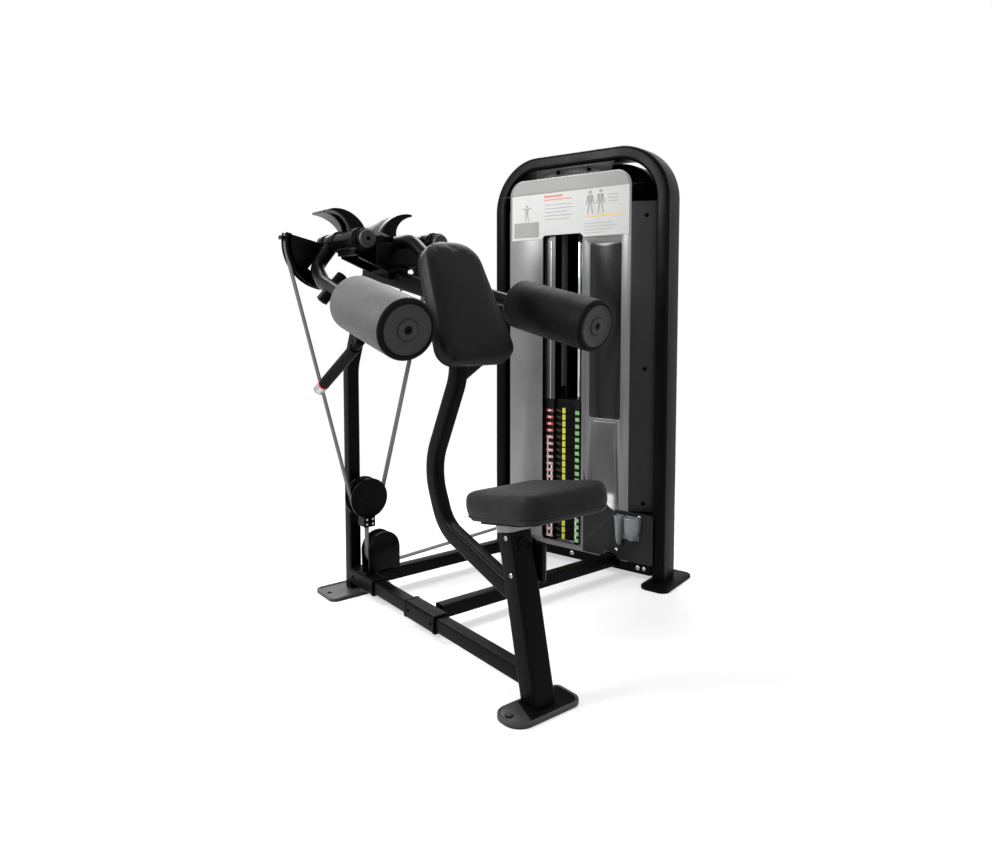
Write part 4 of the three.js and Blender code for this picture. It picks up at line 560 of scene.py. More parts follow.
def makeFloor():
    floor = bpy.data.objects.new("floor", meshFrom("floor", [(-30, -30, 0), (30, -30, 0), (30, 30, 0), (-30, 30, 0)],
                                                   [(0, 1, 2, 3)]))
    collection.objects.link(floor)
    material = bpy.data.materials.new("floorWhite")
    material.use_nodes = True
    nodes, links = material.node_tree.nodes, material.node_tree.links
    nodes.remove(nodes["Principled BSDF"])
    bounce = newNode(nodes, "BsdfDiffuse", {"Color": (light["bounce"],) * 3 + (1,)})
    paint = newNode(nodes, "BsdfDiffuse", {"Color": (light["floorPaint"],) * 3 + (1,)})
    glow = newNode(nodes, "Emission", {"Strength": light["floorGlow"]})
    both = nodes.new("ShaderNodeAddShader")
    links.new(paint.outputs[0], both.inputs[0])
    links.new(glow.outputs[0], both.inputs[1])
    place = nodes.new("ShaderNodeTexCoord")
    reach = nodes.new("ShaderNodeVectorMath")
    reach.operation = "LENGTH"
    links.new(place.outputs["Object"], reach.inputs[0])
    fade = newNode(nodes, "MapRange", {"From Min": light["fadeStart"], "From Max": light["fadeEnd"]})
    fade.interpolation_type = "SMOOTHSTEP"
    links.new(reach.outputs["Value"], fade.inputs["Value"])
    white = newNode(nodes, "Emission", {"Strength": 1})
    faded = mixed(nodes, links, fade.outputs["Result"], both.outputs[0], white.outputs[0])
    mixed(nodes, links, seenDirectly(nodes, links), bounce.outputs[0], faded, nodes["Material Output"])
    floor.data.materials.append(material)


makeCamera()
makeLights()
makeFloor()
print("camera, lights and floor made")


# Seat post with its foot, collar, carriage, lock pin and lever
post = {"width": 0.068, "depth": 0.062, "corner": 0.008, "lean": math.radians(13), "base": 0.012, "top": 0.421}
postFoot = {"left": -0.1225, "right": 0.098, "back": -0.065, "front": 0.037, "rim": 0.008,
            "corners": (0.036, 0.020, 0.042, 0.046), "thickness": 0.012, "boltInset": 0.022, "padEnd": -0.074}
collar = {"proud": 0.003, "height": 0.018}
lockPin = {"z": 0.395, "boss": 0.019, "dots": ((0.0125, 0.004), (-0.011, -0.004)), "screwZ": (0.408, 0.318)}

# The direction that the post's front face looks in
postFacing = Vector((0, -math.cos(post["lean"]), math.sin(post["lean"])))


def leanY(z):
    return (z - post["base"]) * math.tan(post["lean"])


# A leaning tube stands level on the floor, and its upper ends are cut square to the lean
def leaningMesh(name, width, depth, corner, low, high, squareLow=False):
    outline = tubeSection(width, depth, corner, 6)
    count = len(outline)
    fall = math.tan(post["lean"]) / (1 + math.tan(post["lean"]) ** 2)
    vertices = []
    for z, square in ((low, squareLow), (high, True)):
        for a, b in outline:
            ringZ = z - b * fall if square else z
            vertices.append(spot(a, leanY(ringZ) + b, ringZ))
    faces = [(k, (k + 1) % count, count + (k + 1) % count, count + k) for k in range(count)]
    faces += [tuple(range(count))[::-1], tuple(range(count, 2 * count))]
    return meshFrom(name, vertices, faces)


lockPlace = spot(0, leanY(lockPin["z"]) - post["depth"] / 2, lockPin["z"])


def makePost():
    addPiece("seat_post_tube", leaningMesh("seat_post_tube", post["width"], post["depth"], post["corner"],
                                           post["base"], post["top"]),
             powderBlack, "root", ["seat_post"], bevel=0.0008, sharp=50)
    wide = post["width"] + 2 * collar["proud"]
    deep = post["depth"] + 2 * collar["proud"]
    addPiece("post_collar_ring", leaningMesh("post_collar_ring", wide, deep, post["corner"] + collar["proud"],
                                             post["top"], post["top"] + collar["height"], True),
             palePlastic, "root", ["post_collar"], bevel=0.0015, segments=3, sharp=50)
    radius = lockPin["boss"]
    ring = [(0, -0.001), (radius, -0.001), (radius, 0.0022), (radius - 0.0016, 0.0034), (radius * 0.80, 0.0034),
            (radius * 0.76, 0.0016), (radius * 0.46, 0.0016), (radius * 0.42, -0.001), (0, -0.001)]
    turnedPiece("lock_pin_boss", ring, lockPlace, postFacing, powderBlack, "root")
    disc("lock_pin_bore", radius * 0.40, 0.0002, 0.0010, lockPlace, postFacing, shadowBlack, "root")
    lift = alongX.cross(postFacing)
    for number, (a, b) in enumerate(lockPin["dots"]):
        disc(f"lock_pin_dot_{number}", 0.0019, 0.001, 0.0022, lockPlace + alongX * a - lift * b, postFacing,
             shadowBlack, "root", 16)
    for number, z in enumerate(lockPin["screwZ"]):
        screw(f"post_screw_{number}", spot(-post["width"] / 2, leanY(z) - 0.006, z), -alongX, 0.0062, "root", bareSteel)


def makePostFoot():
    low, high = Vector((postFoot["left"], postFoot["back"])), Vector((postFoot["right"], postFoot["front"]))
    rim = postFoot["rim"]
    corners = postFoot["corners"]
    outer = roundedOutline(low.x, high.x, low.y, high.y, corners, 10)
    inner = roundedOutline(low.x + rim, high.x - rim, low.y + rim, high.y - rim, tuple(r - rim for r in corners), 10)
    pad = [(min(x, postFoot["padEnd"] + (y - low.y) * 0.35), y) for x, y in inner]
    pad = [p for i, p in enumerate(pad) if (Vector(p) - Vector(pad[i - 1])).length > 1e-5]
    floorPlate("post_foot_pad", [pad], 0.003, 0.0088, greyPaint, soft=0.001)
    floorPlate("post_foot_plate", [outer], 0.006, 0, greyPaint, ["post_foot"])
    floorPlate("post_foot_rim", [outer, inner], postFoot["thickness"], 0, greyPaint, soft=0.002)
    floorPlate("post_foot_tray", [inner], 0.004, 0.0055, footRubber)
    boltPlace = spot(low.x + postFoot["boltInset"], (low.y + high.y) / 2 + 0.004, 0.0116)
    disc("post_foot_washer", 0.0105, 0, 0.0015, boltPlace, alongZ, darkPlastic, "root")
    turnedPiece("post_foot_bolt", [(0, 0.001), (0.0062, 0.001), (0.0062, 0.0032), (0.0054, 0.0038), (0, 0.0038)],
                boltPlace, alongZ, greyPaint, "root", steps=6)


leverGrip = {"middle": 0.344, "pivot": 0.383, "inner": 0.0425, "outer": 0.0575, "back": 0.044, "rear": 0.012,
             "bottom": 0.290, "top": 0.392}


def makeSeatHardware():
    dress("seat_carriage", powderBlack)
    pinBody = frame["nodes"]["seat_lock_pin"]["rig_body"]
    rod("lock_pin_tip", lockPlace - postFacing * 0.001, lockPlace + postFacing * 0.0024, 0.0048, darkPlastic, pinBody,
        0.0008, ["seat_lock_pin"])
    dress("seat_lever", powderBlack, 0.0015)
    grip = leverGrip
    middle = leanY(grip["middle"])
    spacer = [(0, 0), (0.010, 0), (0.010, 0.003), (0.0085, 0.0045), (0, 0.0045)]
    turnedPiece("seat_lever_cap", spacer, spot(post["width"] / 2 + 0.0145, middle, grip["pivot"]), alongX,
                darkPlastic, "lever", steps=32)
    boxPiece("seat_lever_grip", (grip["inner"], middle - grip["back"], grip["bottom"]),
             (grip["outer"], middle + grip["rear"], grip["top"]), stationMatrix, darkPlastic, "lever", bevel=0.004,
             segments=3)
    boxPiece("seat_lever_stripe", (grip["outer"] - 0.0025, middle - grip["back"] - 0.0006, grip["bottom"] + 0.006),
             (grip["outer"] - 0.0065, middle - grip["back"] + 0.001, grip["top"] - 0.012), stationMatrix, greyPaint,
             "lever", bevel=0.0004)


makePost()
makePostFoot()
makeSeatHardware()
print("seat post made")


# Floor frame: long tube, sleeve, saddle clamp, side bar and the two rails
floorTube = {"side": 0.042, "corner": 0.006, "bottom": 0.040, "start": 0.030, "end": floorTubeEnd}
sleeve = {"wall": 0.006, "end": (0.800, floorTubeEnd), "saddle": (0.430, 0.600), "inset": 0.022, "band": 0.006}
sideBar = {"left": 0.0276, "right": 0.0490, "start": 0.488, "end": 0.925, "bottom": 0.035, "top": 0.060}
railNodes = ("rail_front", "rail_rear")


def boxTube(name, start, end, side, across, corner, finish, replaced=()):
    return sweptPiece(name, tubeSection(across, across, corner), [start, end], side, finish, "root", replaced, 0.0006)


def makeFloorFrame():
    side, corner = floorTube["side"], floorTube["corner"]
    z = floorTube["bottom"] + side / 2
    boxTube("front_tube_skin", spot(0, floorTube["start"], z), spot(0, floorTube["end"], z), alongX, side, corner,
            powderBlack, ["front_tube"])
    outer = side + 2 * sleeve["wall"]
    for node, key in (("end_sleeve", "end"), ("saddle_clamp", "saddle")):
        start, end = sleeve[key]
        shell = boxTube(node + "_shell", spot(0, start, z), spot(0, end, z), alongX, outer, 0.009, powderBlack, [node])
        shell.modifiers["edges"].width = 0.0012
        for number, y in enumerate((start + sleeve["inset"], end - sleeve["inset"])):
            screw(f"{node}_screw_{number}", spot(-outer / 2, y, z), -alongX, 0.0068, "root", darkPlastic)
        bands = (start + sleeve["band"], end - sleeve["band"])
        for number, y in enumerate(bands[:1] if key == "end" else bands):
            band = boxTube(f"{node}_band_{number}", spot(0, y - 0.0035, z), spot(0, y + 0.0035, z), alongX,
                           outer + 0.003, 0.010, darkPlastic)
            band.modifiers["edges"].width = 0.001
    boxPiece("rail_bar_skin", (sideBar["left"], sideBar["start"], sideBar["bottom"]),
             (sideBar["right"], sideBar["end"], sideBar["top"]), stationMatrix, powderBlack, "root", ["rail_bar"],
             0.0018)
    for node in railNodes:
        low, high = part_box(node)
        middle = (low.y + high.y) / 2
        boxTube(node + "_skin", Vector((spot(sideBar["right"], 0, 0).x, middle, z)),
                Vector((high.x - 0.004, middle, z)), alongY, side, corner, powderBlack, [node])


makeFloorFrame()
print("floor frame made")


# Spine, upright and the chest pad's bracket
spine = {"width": 0.038, "depth": 0.050, "corner": 0.009,
         "bends": [(0.040, 0.245), (0.405, 0.360), (0.476, 0.520), (0.336, 0.800), (0.345, 0.905), (0.468, 1.035),
                   (0.855, 1.111)],
         "radii": [0.120, 0.165, 0.150, 0.150, 0.130]}
upright = {"y": 0.985, "bend": 0.785, "radius": 0.150, "lean": math.radians(24.6), "reach": 0.330, "side": 0.042,
           "footX": 0.118, "footBack": 0.075, "footFront": 0.065, "footRim": 0.009,
           "boltX": 0.094}


def makeSpine():
    path = bentPath([spot(0, y, z) for y, z in spine["bends"]], spine["radii"])
    section = tubeSection(spine["width"], spine["depth"], spine["corner"], 6)
    sweptPiece("spine_tube_skin", section, path, alongX, powderBlack, "root", ["spine_tube"], 0.0008)


def makeUpright():
    corner = spot(0, upright["y"], upright["bend"])
    lean = Vector((0, -math.sin(upright["lean"]), math.cos(upright["lean"])))
    path = bentPath([spot(0, upright["y"], 0.006), corner, corner + lean * upright["reach"]], upright["radius"])
    section = tubeSection(upright["side"], upright["side"], 0.006, 6)
    sweptPiece("upright_tube", section, path, alongX, powderBlack, "root", ["upright"], 0.0008)
    x, back, front = upright["footX"], upright["y"] - upright["footBack"], upright["y"] + upright["footFront"]
    rim = upright["footRim"]
    outline = roundedOutline(-x, x, back, front, 0.026, 8)
    inner = roundedOutline(-x + rim, x - rim, back + rim, front - rim, 0.018, 8)
    floorPlate("upright_foot", [outline], 0.006, 0, greyPaint)
    floorPlate("upright_foot_rim", [outline, inner], 0.012, 0, greyPaint, soft=0.002)
    floorPlate("upright_foot_tray", [inner], 0.004, 0.0055, greyPaint)
    for number, x in enumerate((-upright["boltX"], upright["boltX"])):
        disc(f"upright_foot_hole_{number}", 0.0075, 0, 0.0006, spot(x, upright["y"] - 0.004, 0.0095), alongZ,
             shadowBlack, "root", 24)


makeSpine()
makeUpright()
dress("chest_pad_board", powderBlack)
print("spine and upright made")


# Head: housing, bearing tubes and the arm shafts
hub = {"x": 0.1275, "z": 1.188}
bearing = {"radius": 0.030, "start": 0.640, "end": 0.800, "collar": 0.034, "collarStart": 0.652, "collarLength": 0.042}
bothSides = ((-1, "left"), (1, "right"))
shaft = {"radius": 0.015, "front": 0.622, "rear": 0.952, "cap": 0.026, "capLength": 0.012}


def makeHead():
    dress("head_housing", headBlack, 0.0012)
    for side, name in bothSides:
        x, z = side * hub["x"], hub["z"]
        length = bearing["end"] - bearing["start"]
        inner, radius, collarRadius = shaft["radius"] + 0.0005, bearing["radius"] + 0.0004, bearing["collar"] + 0.0004
        near = bearing["collarStart"] - bearing["start"]
        far = near + bearing["collarLength"]
        profile = [(inner, 0), (radius - 0.002, 0), (radius, 0.002), (radius, near - 0.001),
                   (collarRadius - 0.0015, near), (collarRadius, near + 0.0015), (collarRadius, far - 0.0015),
                   (collarRadius - 0.0015, far),
                   (radius, far + 0.001), (radius, length - 0.012), (radius + 0.0035, length - 0.010),
                   (radius + 0.0035, length - 0.002), (radius, length), (inner, length), (inner, 0)]
        turnedPiece(f"bearing_tube_{name}", profile, spot(x, bearing["start"], z), alongY, headBlack, "root")
        front = spot(x, shaft["front"] - shaft["capLength"], z)
        reach = shaft["rear"] - shaft["front"] + shaft["capLength"]
        body = f"{name}_arm"
        turnedPiece(f"arm_shaft_bar_{name}", [(0, 0.010), (shaft["radius"], 0.010), (shaft["radius"], reach - 0.002),
                                              (shaft["radius"] - 0.002, reach), (0, reach)],
                    front, alongY, chrome, body, [f"arm_shaft_{name}"], steps=40)
        cap = shaft["cap"]
        face = [(0, 0.0035), (0.0062, 0.0035), (0.0070, 0.0005), (cap * 0.78, 0), (cap * 0.93, 0.0016), (cap, 0.0050),
                (cap, 0.0125), (cap * 0.9, 0.0135), (0, 0.0135)]
        turnedPiece(f"hub_cap_{name}", face, front, alongY, capPlastic, body, steps=56)
        disc(f"hub_cap_dot_{name}", 0.0060, 0.0032, 0.0036, front, alongY, shadowBlack, body, 20)
        ringPiece(f"hub_ring_{name}", cap * 1.02, bearing["radius"], 0.013, 0.017, front, alongY, darkPlastic, "root",
                  56)


# An arched tube ties the housing to the chest pad's board, and a plate closes the housing's face
brace = {"path": [(0.705, 1.184), (0.580, 1.186), (0.416, 1.080)], "radius": 0.0205, "bend": 0.120}
headCover = {"halfWidth": 0.088, "bottom": 1.112, "top": 1.180, "thickness": 0.0025}


def makeBrace():
    path = bentPath([spot(0, y, z) for y, z in brace["path"]], brace["bend"])
    sweptPiece("head_brace_tube", roundSection(brace["radius"]), path, alongX, powderBlack, "root")
    low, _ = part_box("head_housing")
    outline = roundedOutline(-headCover["halfWidth"], headCover["halfWidth"], headCover["bottom"], headCover["top"],
                             0.012, 5)
    plate("head_cover", [outline], headCover["thickness"], Vector((origin.x, low.y, 0)), alongX, alongZ, headBlack,
          "root")


makeHead()
makeBrace()
print("head made")


# Arms: bent tube, hub sleeve, cross boss, grip, roller and its cap
gooseneck = {"radius": 0.021, "hubRadius": 0.028, "hubStart": 0.808, "hubEnd": 0.862, "bend": 0.062}
roller = {"radius": 0.074, "near": (0.3025, 0.1045, 0.934), "far": (0.276, 0.4055, 0.997), "edge": 0.011}
rollerCap = {"radius": 0.060, "boss": 0.025}
spigot = {"radius": 0.0125, "stop": 0.030, "stopThickness": 0.006}
elbow = {"x": 0.238, "y": 0.680, "z": 1.058, "innerX": 0.190, "innerZ": 1.110}
crossBoss = {"y": 0.600, "radius": 0.017, "length": 0.095}
grip = {"x": 0.250, "nearY": 0.440, "nearZ": 0.892, "farY": 0.704, "farZ": 0.740, "radius": 0.0165, "bore": 0.012,
        "endBare": 0.052, "endLength": 0.039, "ridges": 26}
gripBracket = {"width": 0.034, "thickness": 0.010, "reach": 0.050}


def makeArm(side, name):
    body = f"{name}_arm"

    def at(x, y, z):
        return spot(side * x, y, z)

    near, far = at(*roller["near"]), at(*roller["far"])
    axis = (far - near).normalized()
    hubMiddle = (gooseneck["hubStart"] + gooseneck["hubEnd"]) / 2
    stopStart = far + axis * 0.0003
    elbowPlace = at(elbow["x"], elbow["y"], elbow["z"])
    neckPath = bentPath([stopStart, elbowPlace, at(elbow["innerX"], hubMiddle, elbow["innerZ"]),
                         at(hub["x"], hubMiddle, hub["z"])], gooseneck["bend"], 4)
    sweptPiece(f"arm_neck_{name}", roundSection(gooseneck["radius"]), neckPath, carriedSides(neckPath, alongZ),
               powderBlack, body, [f"arm_tube_{name}"])
    rod(f"arm_hub_{name}", at(hub["x"], gooseneck["hubStart"], hub["z"]), at(hub["x"], gooseneck["hubEnd"], hub["z"]),
        gooseneck["hubRadius"], powderBlack, body, 0.002, steps=56)
    rod(f"arm_spigot_{name}", near + axis * 0.007, stopStart, spigot["radius"], bareSteel, body)
    rod(f"arm_stop_{name}", stopStart, stopStart + axis * spigot["stopThickness"], spigot["stop"], powderBlack, body,
        0.0015, steps=56)

    def alongNeck(y):
        start, end = Vector(roller["far"]), Vector((elbow["x"], elbow["y"], elbow["z"]))
        return at(*start.lerp(end, (y - start.y) / (end.y - start.y)))

    upward = axis.cross(alongX).normalized()
    upward *= 1 if upward.z > 0 else -1
    bossAxis = (upward * 0.78 - alongX * side * 0.62).normalized()
    boss = alongNeck(crossBoss["y"])
    half = crossBoss["length"] / 2
    rod(f"cross_boss_{name}", boss - bossAxis * half, boss + bossAxis * half, crossBoss["radius"], powderBlack, body,
        0.0015)
    for mark, end in (("low", -1), ("high", 1)):
        turnedPiece(f"cross_boss_cap_{mark}_{name}", [(0, 0), (0.0115, 0), (0.0115, 0.0012), (0.0105, 0.002),
                                                      (0, 0.002)],
                    boss + bossAxis * half * end, bossAxis * end, darkPlastic, body, steps=32)

    gripNear, gripFar = at(grip["x"], grip["nearY"], grip["nearZ"]), at(grip["x"], grip["farY"], grip["farZ"])
    gripAxis = (gripFar - gripNear).normalized()
    thickness = gripBracket["thickness"]
    bracketPath = [gripNear + gripAxis * thickness / 2, alongNeck(roller["far"][1] + gripBracket["reach"])]
    sweptPiece(f"grip_bracket_{name}", tubeSection(thickness, gripBracket["width"], 0.003), bracketPath,
               carriedSides(bracketPath, alongX), powderBlack, body, bevel=0.001)
    start = gripNear + gripAxis * (gripBracket["width"] / 2 + thickness)
    length = (gripFar - start).length - grip["endBare"]
    radius, bore = grip["radius"], grip["bore"]
    rod(f"grip_core_{name}", gripNear - gripAxis * thickness, gripFar - gripAxis * 0.010, bore, powderBlack, body)
    profile = [(bore, 0), (radius - 0.001, 0), (radius, 0.002)]
    pitch = (length - 0.012) / grip["ridges"]
    for i in range(grip["ridges"]):
        place = 0.006 + (length - 0.012) * i / grip["ridges"]
        profile += [(radius, place), (radius - 0.0005, place + pitch * 0.42), (radius, place + pitch * 0.84)]
    profile += [(radius, length - 0.002), (radius - 0.001, length), (bore, length), (bore, 0)]
    turnedPiece(f"grip_sleeve_{name}", profile, start, gripAxis, gripRubber, body, [f"grip_{name}"], sharp=40)
    ring = length + 0.0005
    ringPiece(f"grip_ring_{name}", bore, radius + 0.0004, ring, ring + 0.0055, start, gripAxis, ringRed, body)
    end = ring + 0.006
    tip = end + grip["endLength"]
    turnedPiece(f"grip_end_{name}", [(0, end), (radius - 0.0005, end), (radius, end + 0.001), (radius, tip - 0.004),
                                     (radius - 0.002, tip - 0.001), (0.006, tip), (0, tip)],
                start, gripAxis, bareSteel, body)
    disc(f"grip_groove_{name}", radius + 0.0002, tip - 0.0085, tip - 0.0070, start, gripAxis, darkPlastic, body, 48)
    makeRoller(side, name, near, axis, (far - near).length)


def makeRoller(side, name, near, axis, length):
    body = f"{name}_roller"
    radius, edge, seat = roller["radius"], roller["edge"], rollerCap["radius"] + 0.0008
    bore = spigot["radius"] + 0.0003
    turns = [math.pi / 2 * i / 8 for i in range(9)]
    profile = [(bore, 0.0075), (seat, 0.0075), (seat, 0.0035), (seat + 0.0010, 0.0010)]
    profile += [(radius - edge + edge * math.sin(a), edge - edge * math.cos(a)) for a in turns]
    profile += [(radius + 0.0006 * math.sin(math.pi * s), edge + (length - 2 * edge) * s) for s in (0.25, 0.5, 0.75)]
    profile += [(radius - edge + edge * math.cos(a), length - edge + edge * math.sin(a)) for a in turns]
    profile += [(bore, length), (bore, 0.0075)]
    # painted shade: the right roller takes the darker copy of the same foam
    skin = foamSkin if side < 0 else paintedShadeFoam  # the right one looks darker
    pad = turnedPiece(f"roller_foam_{name}", profile, near, axis, skin, body, [f"roller_pad_{name}"], steps=96,
                      sharp=40)
    # painted shade: a thin shell of the darker foam laid over the near end's rounding darkens the end face of both
    # rollers
    proud = edge + 0.0004
    rim = [(seat, 0.0072), (seat, 0.0034), (seat + 0.0010, 0.0007)]
    rim += [(radius - edge + proud * math.sin(a), edge - proud * math.cos(a))
            for a in [math.radians(72) * i / 6 for i in range(7)]]
    rim += [(radius - 0.003, 0.0085), (seat, 0.0072)]
    turnedPiece(f"roller_end_shade_{name}", rim, near, axis, paintedShadeFoam, body, steps=96, sharp=50)
    cap, boss = rollerCap["radius"], rollerCap["boss"]
    face = [(0, 0.007), (cap, 0.007), (cap, 0.0012), (cap - 0.0012, -0.0008), (cap - 0.0042, -0.0012),
            (cap - 0.0052, 0.0006), (cap - 0.0060, 0.0010), (boss + 0.0024, 0.0004), (boss + 0.0016, 0.0026),
            (boss + 0.0004, 0.0026), (boss, -0.0010), (boss - 0.0012, -0.0028), (0.0110, -0.0034), (0.0100, -0.0020),
            (0.0095, 0.004), (0, 0.004)]
    turnedPiece(f"roller_cap_face_{name}", face, near, axis, capPlastic, body, [f"roller_cap_{name}"], steps=96,
                sharp=28)
    bolt = [(0, -0.0005), (0.0030, -0.0005), (0.0040, -0.0014), (0.0066, -0.0010), (0.0086, 0.0006), (0.0088, 0.0042),
            (0, 0.0042)]
    turnedPiece(f"roller_bolt_{name}", bolt, near, axis, darkPlastic, body, steps=40)
    turnedPiece(f"roller_bolt_socket_{name}", [(0, -0.0012), (0.0036, -0.0016), (0.0036, 0.001), (0, 0.001)], near,
                axis, shadowBlack, body, steps=6)


for armSide, armName in bothSides:
    makeArm(armSide, armName)
print("arms made")


# Cams with their counterweights; angles run from straight inward, over the top, to the outside
beltY = 0.885
beltSize = {"width": 0.025, "thickness": 0.003}
cam = {"beltRadius": 0.141, "width": 0.034, "groove": 0.027, "flange": 0.005, "start": 168, "end": 262, "hub": 0.030,
       "web": 0.010, "windowStart": 229, "windowEnd": 252, "windowInner": 0.066, "inset": 0.034,
       "rimDepth": 0.011, "anchor": 176}
counterweight = {"outer": 0.108, "root": 0.034, "start": 24, "end": 98, "front": 0.808, "rear": 0.965, "skin": 0.016,
                 "tip": 0.007}


def fan(side, radius, start, end, steps=30):
    points = []
    for i in range(steps + 1):
        angle = math.radians(start + (end - start) * i / steps)
        points.append((side * hub["x"] - side * radius * math.cos(angle), hub["z"] + radius * math.sin(angle)))
    return points


# Plates across the machine: outlines are (x, z) in the station, from one y to another
def acrossPlate(name, outlines, back, front, finish, body, replaced=(), soft=0.001):
    return plate(name, outlines, front - back, spot(0, front, 0), alongX, alongZ, finish, body, replaced, soft)


def makeCam(side, name):
    body = f"{name}_arm"
    rim = cam["beltRadius"] - beltSize["thickness"] / 2 - 0.0012
    outer = rim + cam["flange"] + beltSize["thickness"]
    half = cam["width"] / 2
    start, end = cam["start"], cam["end"]

    def sector(outside, inside):
        return fan(side, outside, start, end) + fan(side, inside, start, end)[::-1]

    window = (fan(side, rim - cam["inset"], cam["windowStart"], cam["windowEnd"])
              + fan(side, cam["windowInner"], cam["windowStart"], cam["windowEnd"])[::-1])
    hubOutline = circleOutline(side * hub["x"], hub["z"], cam["hub"], 30)
    webOutline = fan(side, rim, start, end) + fan(side, 0.016, start + 10, end - 10, 6)[::-1]
    web = cam["web"] / 2
    acrossPlate(f"cam_web_{name}", [webOutline, window], beltY - web, beltY + web, headBlack, body, [f"cam_{name}"])
    acrossPlate(f"cam_hub_{name}", [hubOutline], beltY - half, beltY + half, headBlack, body)
    inside = rim - cam["rimDepth"]
    acrossPlate(f"cam_rim_{name}", [sector(rim, inside)], beltY - half, beltY + half, headBlack, body)
    flange = (cam["width"] - cam["groove"]) / 2
    for mark, face in (("front", beltY - half), ("rear", beltY + half - flange)):
        acrossPlate(f"cam_lip_{mark}_{name}", [sector(outer, inside)], face, face + flange, headBlack, body,
                    soft=0.0008)
    makeCounterweight(side, name, body, beltY - half)
    anchor = fan(side, cam["beltRadius"] + 0.002, cam["anchor"], cam["anchor"], 1)[0]
    boxPiece(f"belt_clamp_{name}", (anchor[0] - 0.014, beltY - 0.013, anchor[1] - 0.002),
             (anchor[0] + 0.006, beltY + 0.013, anchor[1] + 0.010), stationMatrix, headBlack, body, bevel=0.001)
    for number, y in enumerate((beltY - 0.007, beltY + 0.007)):
        screw(f"belt_clamp_screw_{number}_{name}", spot(anchor[0] - 0.004, y, anchor[1] + 0.010), alongZ, 0.0032, body,
              bareSteel)


# Each weight is a fin: a round back, a hollow front edge and a tip that hooks outward
def makeCounterweight(side, name, body, webBack):
    weight = counterweight
    start, end, outer, tip = weight["start"], weight["end"], weight["outer"], weight["tip"]
    steps, hollow, shell = 24, [], []
    for i in range(steps + 1):
        share = i / steps
        turn = start + (end - start) * share
        hollow += fan(side, weight["root"] + (outer - tip - weight["root"]) * share ** 0.62, turn, turn, 1)[:1]
        shell += fan(side, outer - weight["skin"] + (weight["skin"] - tip) * share ** 3, turn, turn, 1)[:1]
    back = fan(side, outer, start, end)
    fin, skin = back + hollow[::-1], back + shell[::-1]
    front = weight["front"]
    acrossPlate(f"counterweight_{name}", [fin], front, front + 0.030, headBlack, body, soft=0.0012)
    acrossPlate(f"counterweight_shell_{name}", [skin], front + 0.028, weight["rear"], weightGrey, body, soft=0.0012)
    acrossPlate(f"counterweight_web_{name}", [fin], webBack, webBack + 0.012, headBlack, body)


for armSide, armName in bothSides:
    makeCam(armSide, armName)
print("cams made")


# Pulleys and their side plates
pulley = {"width": 0.034, "groove": 0.027, "flange": 0.006, "axle": 0.008, "plateGap": 0.002, "plate": 0.006,
          "stationRadius": 0.055, "towerRadius": 0.050, "lowHeight": 0.160, "highHeight": 0.180, "topHeight": 1.400}
floating = {"z": 0.348, "plateRadius": 0.067, "clampLow": 0.250, "clampHigh": 0.286, "half": 0.020}
lowerBracket = {"floor": 0.0883, "radius": 0.062, "left": 0.060, "baseLeft": 0.075, "baseRight": 0.030, "base": 0.005}
lowerStretch = {"start": 0.1606, "end": 0.2497}
riserBelt = {"x": 0.160, "y": 0.600, "twistStart": 0.280, "twistSteps": 40}
stackPlace = {"x": 0.075, "y": 0.465}
riser = towerSpot(riserBelt["x"], riserBelt["y"], 0)
beltStart = spot(0, beltY, 0)
runAlong = (riser - beltStart).normalized()
runSide = alongZ.cross(runAlong)
runLength = (riser - beltStart).length
stackTop = towerSpot(stackPlace["x"], stackPlace["y"], 0)
topAlong = (riser - stackTop).normalized()
topSide = alongZ.cross(topAlong)
topRadius = (riser - stackTop).length / 2
topMiddle = (riser + stackTop) / 2 + alongZ * pulley["topHeight"]
lowCentre = beltStart + runAlong * pulley["stationRadius"] + alongZ * pulley["lowHeight"]
highCentre = beltStart + runAlong * (runLength - pulley["towerRadius"]) + alongZ * pulley["highHeight"]


def makeWheel(name, centre, axis, beltRadius, body, node):
    groove = beltRadius - beltSize["thickness"] / 2 - 0.0006
    rim = groove + pulley["flange"] + beltSize["thickness"]
    half, grooveHalf = pulley["width"] / 2, pulley["groove"] / 2
    inner = groove - 0.009
    profile = [(pulley["axle"], -half), (0.016, -half), (0.017, -half + 0.001), (0.018, -0.007),
               (inner - 0.002, -0.006), (inner + 0.001, -half + 0.001), (inner + 0.002, -half),
               (rim - 0.001, -half), (rim, -half + 0.001), (rim - 0.0006, -half + 0.0022), (groove, -grooveHalf)]
    profile += [(radius, -along) for radius, along in reversed(profile)]
    profile.append(profile[0])
    turnedPiece(name, profile, centre, axis, darkPlastic, body, [node], steps=64)


def sidePlates(name, outline, centre, along, axis, body, replaced):
    inner = pulley["width"] / 2 + pulley["plateGap"]
    outer = inner + pulley["plate"]
    for mark, offset in (("front", -inner), ("rear", outer)):
        plate(f"{name}_{mark}", [outline], pulley["plate"], centre + axis * offset, along, alongZ, headBlack, body,
              replaced if mark == "front" else ())
    bolt = [(0, 0), (0.0105, 0), (0.0105, 0.0016), (0.0070, 0.0030), (0.0062, 0.0045), (0.0028, 0.0048),
            (0.0024, 0.0020), (0, 0.0020)]
    for mark, end in (("front", -1), ("rear", 1)):
        turnedPiece(f"{name}_bolt_{mark}", bolt, centre + axis * end * outer, axis * end, darkPlastic, body, steps=32)


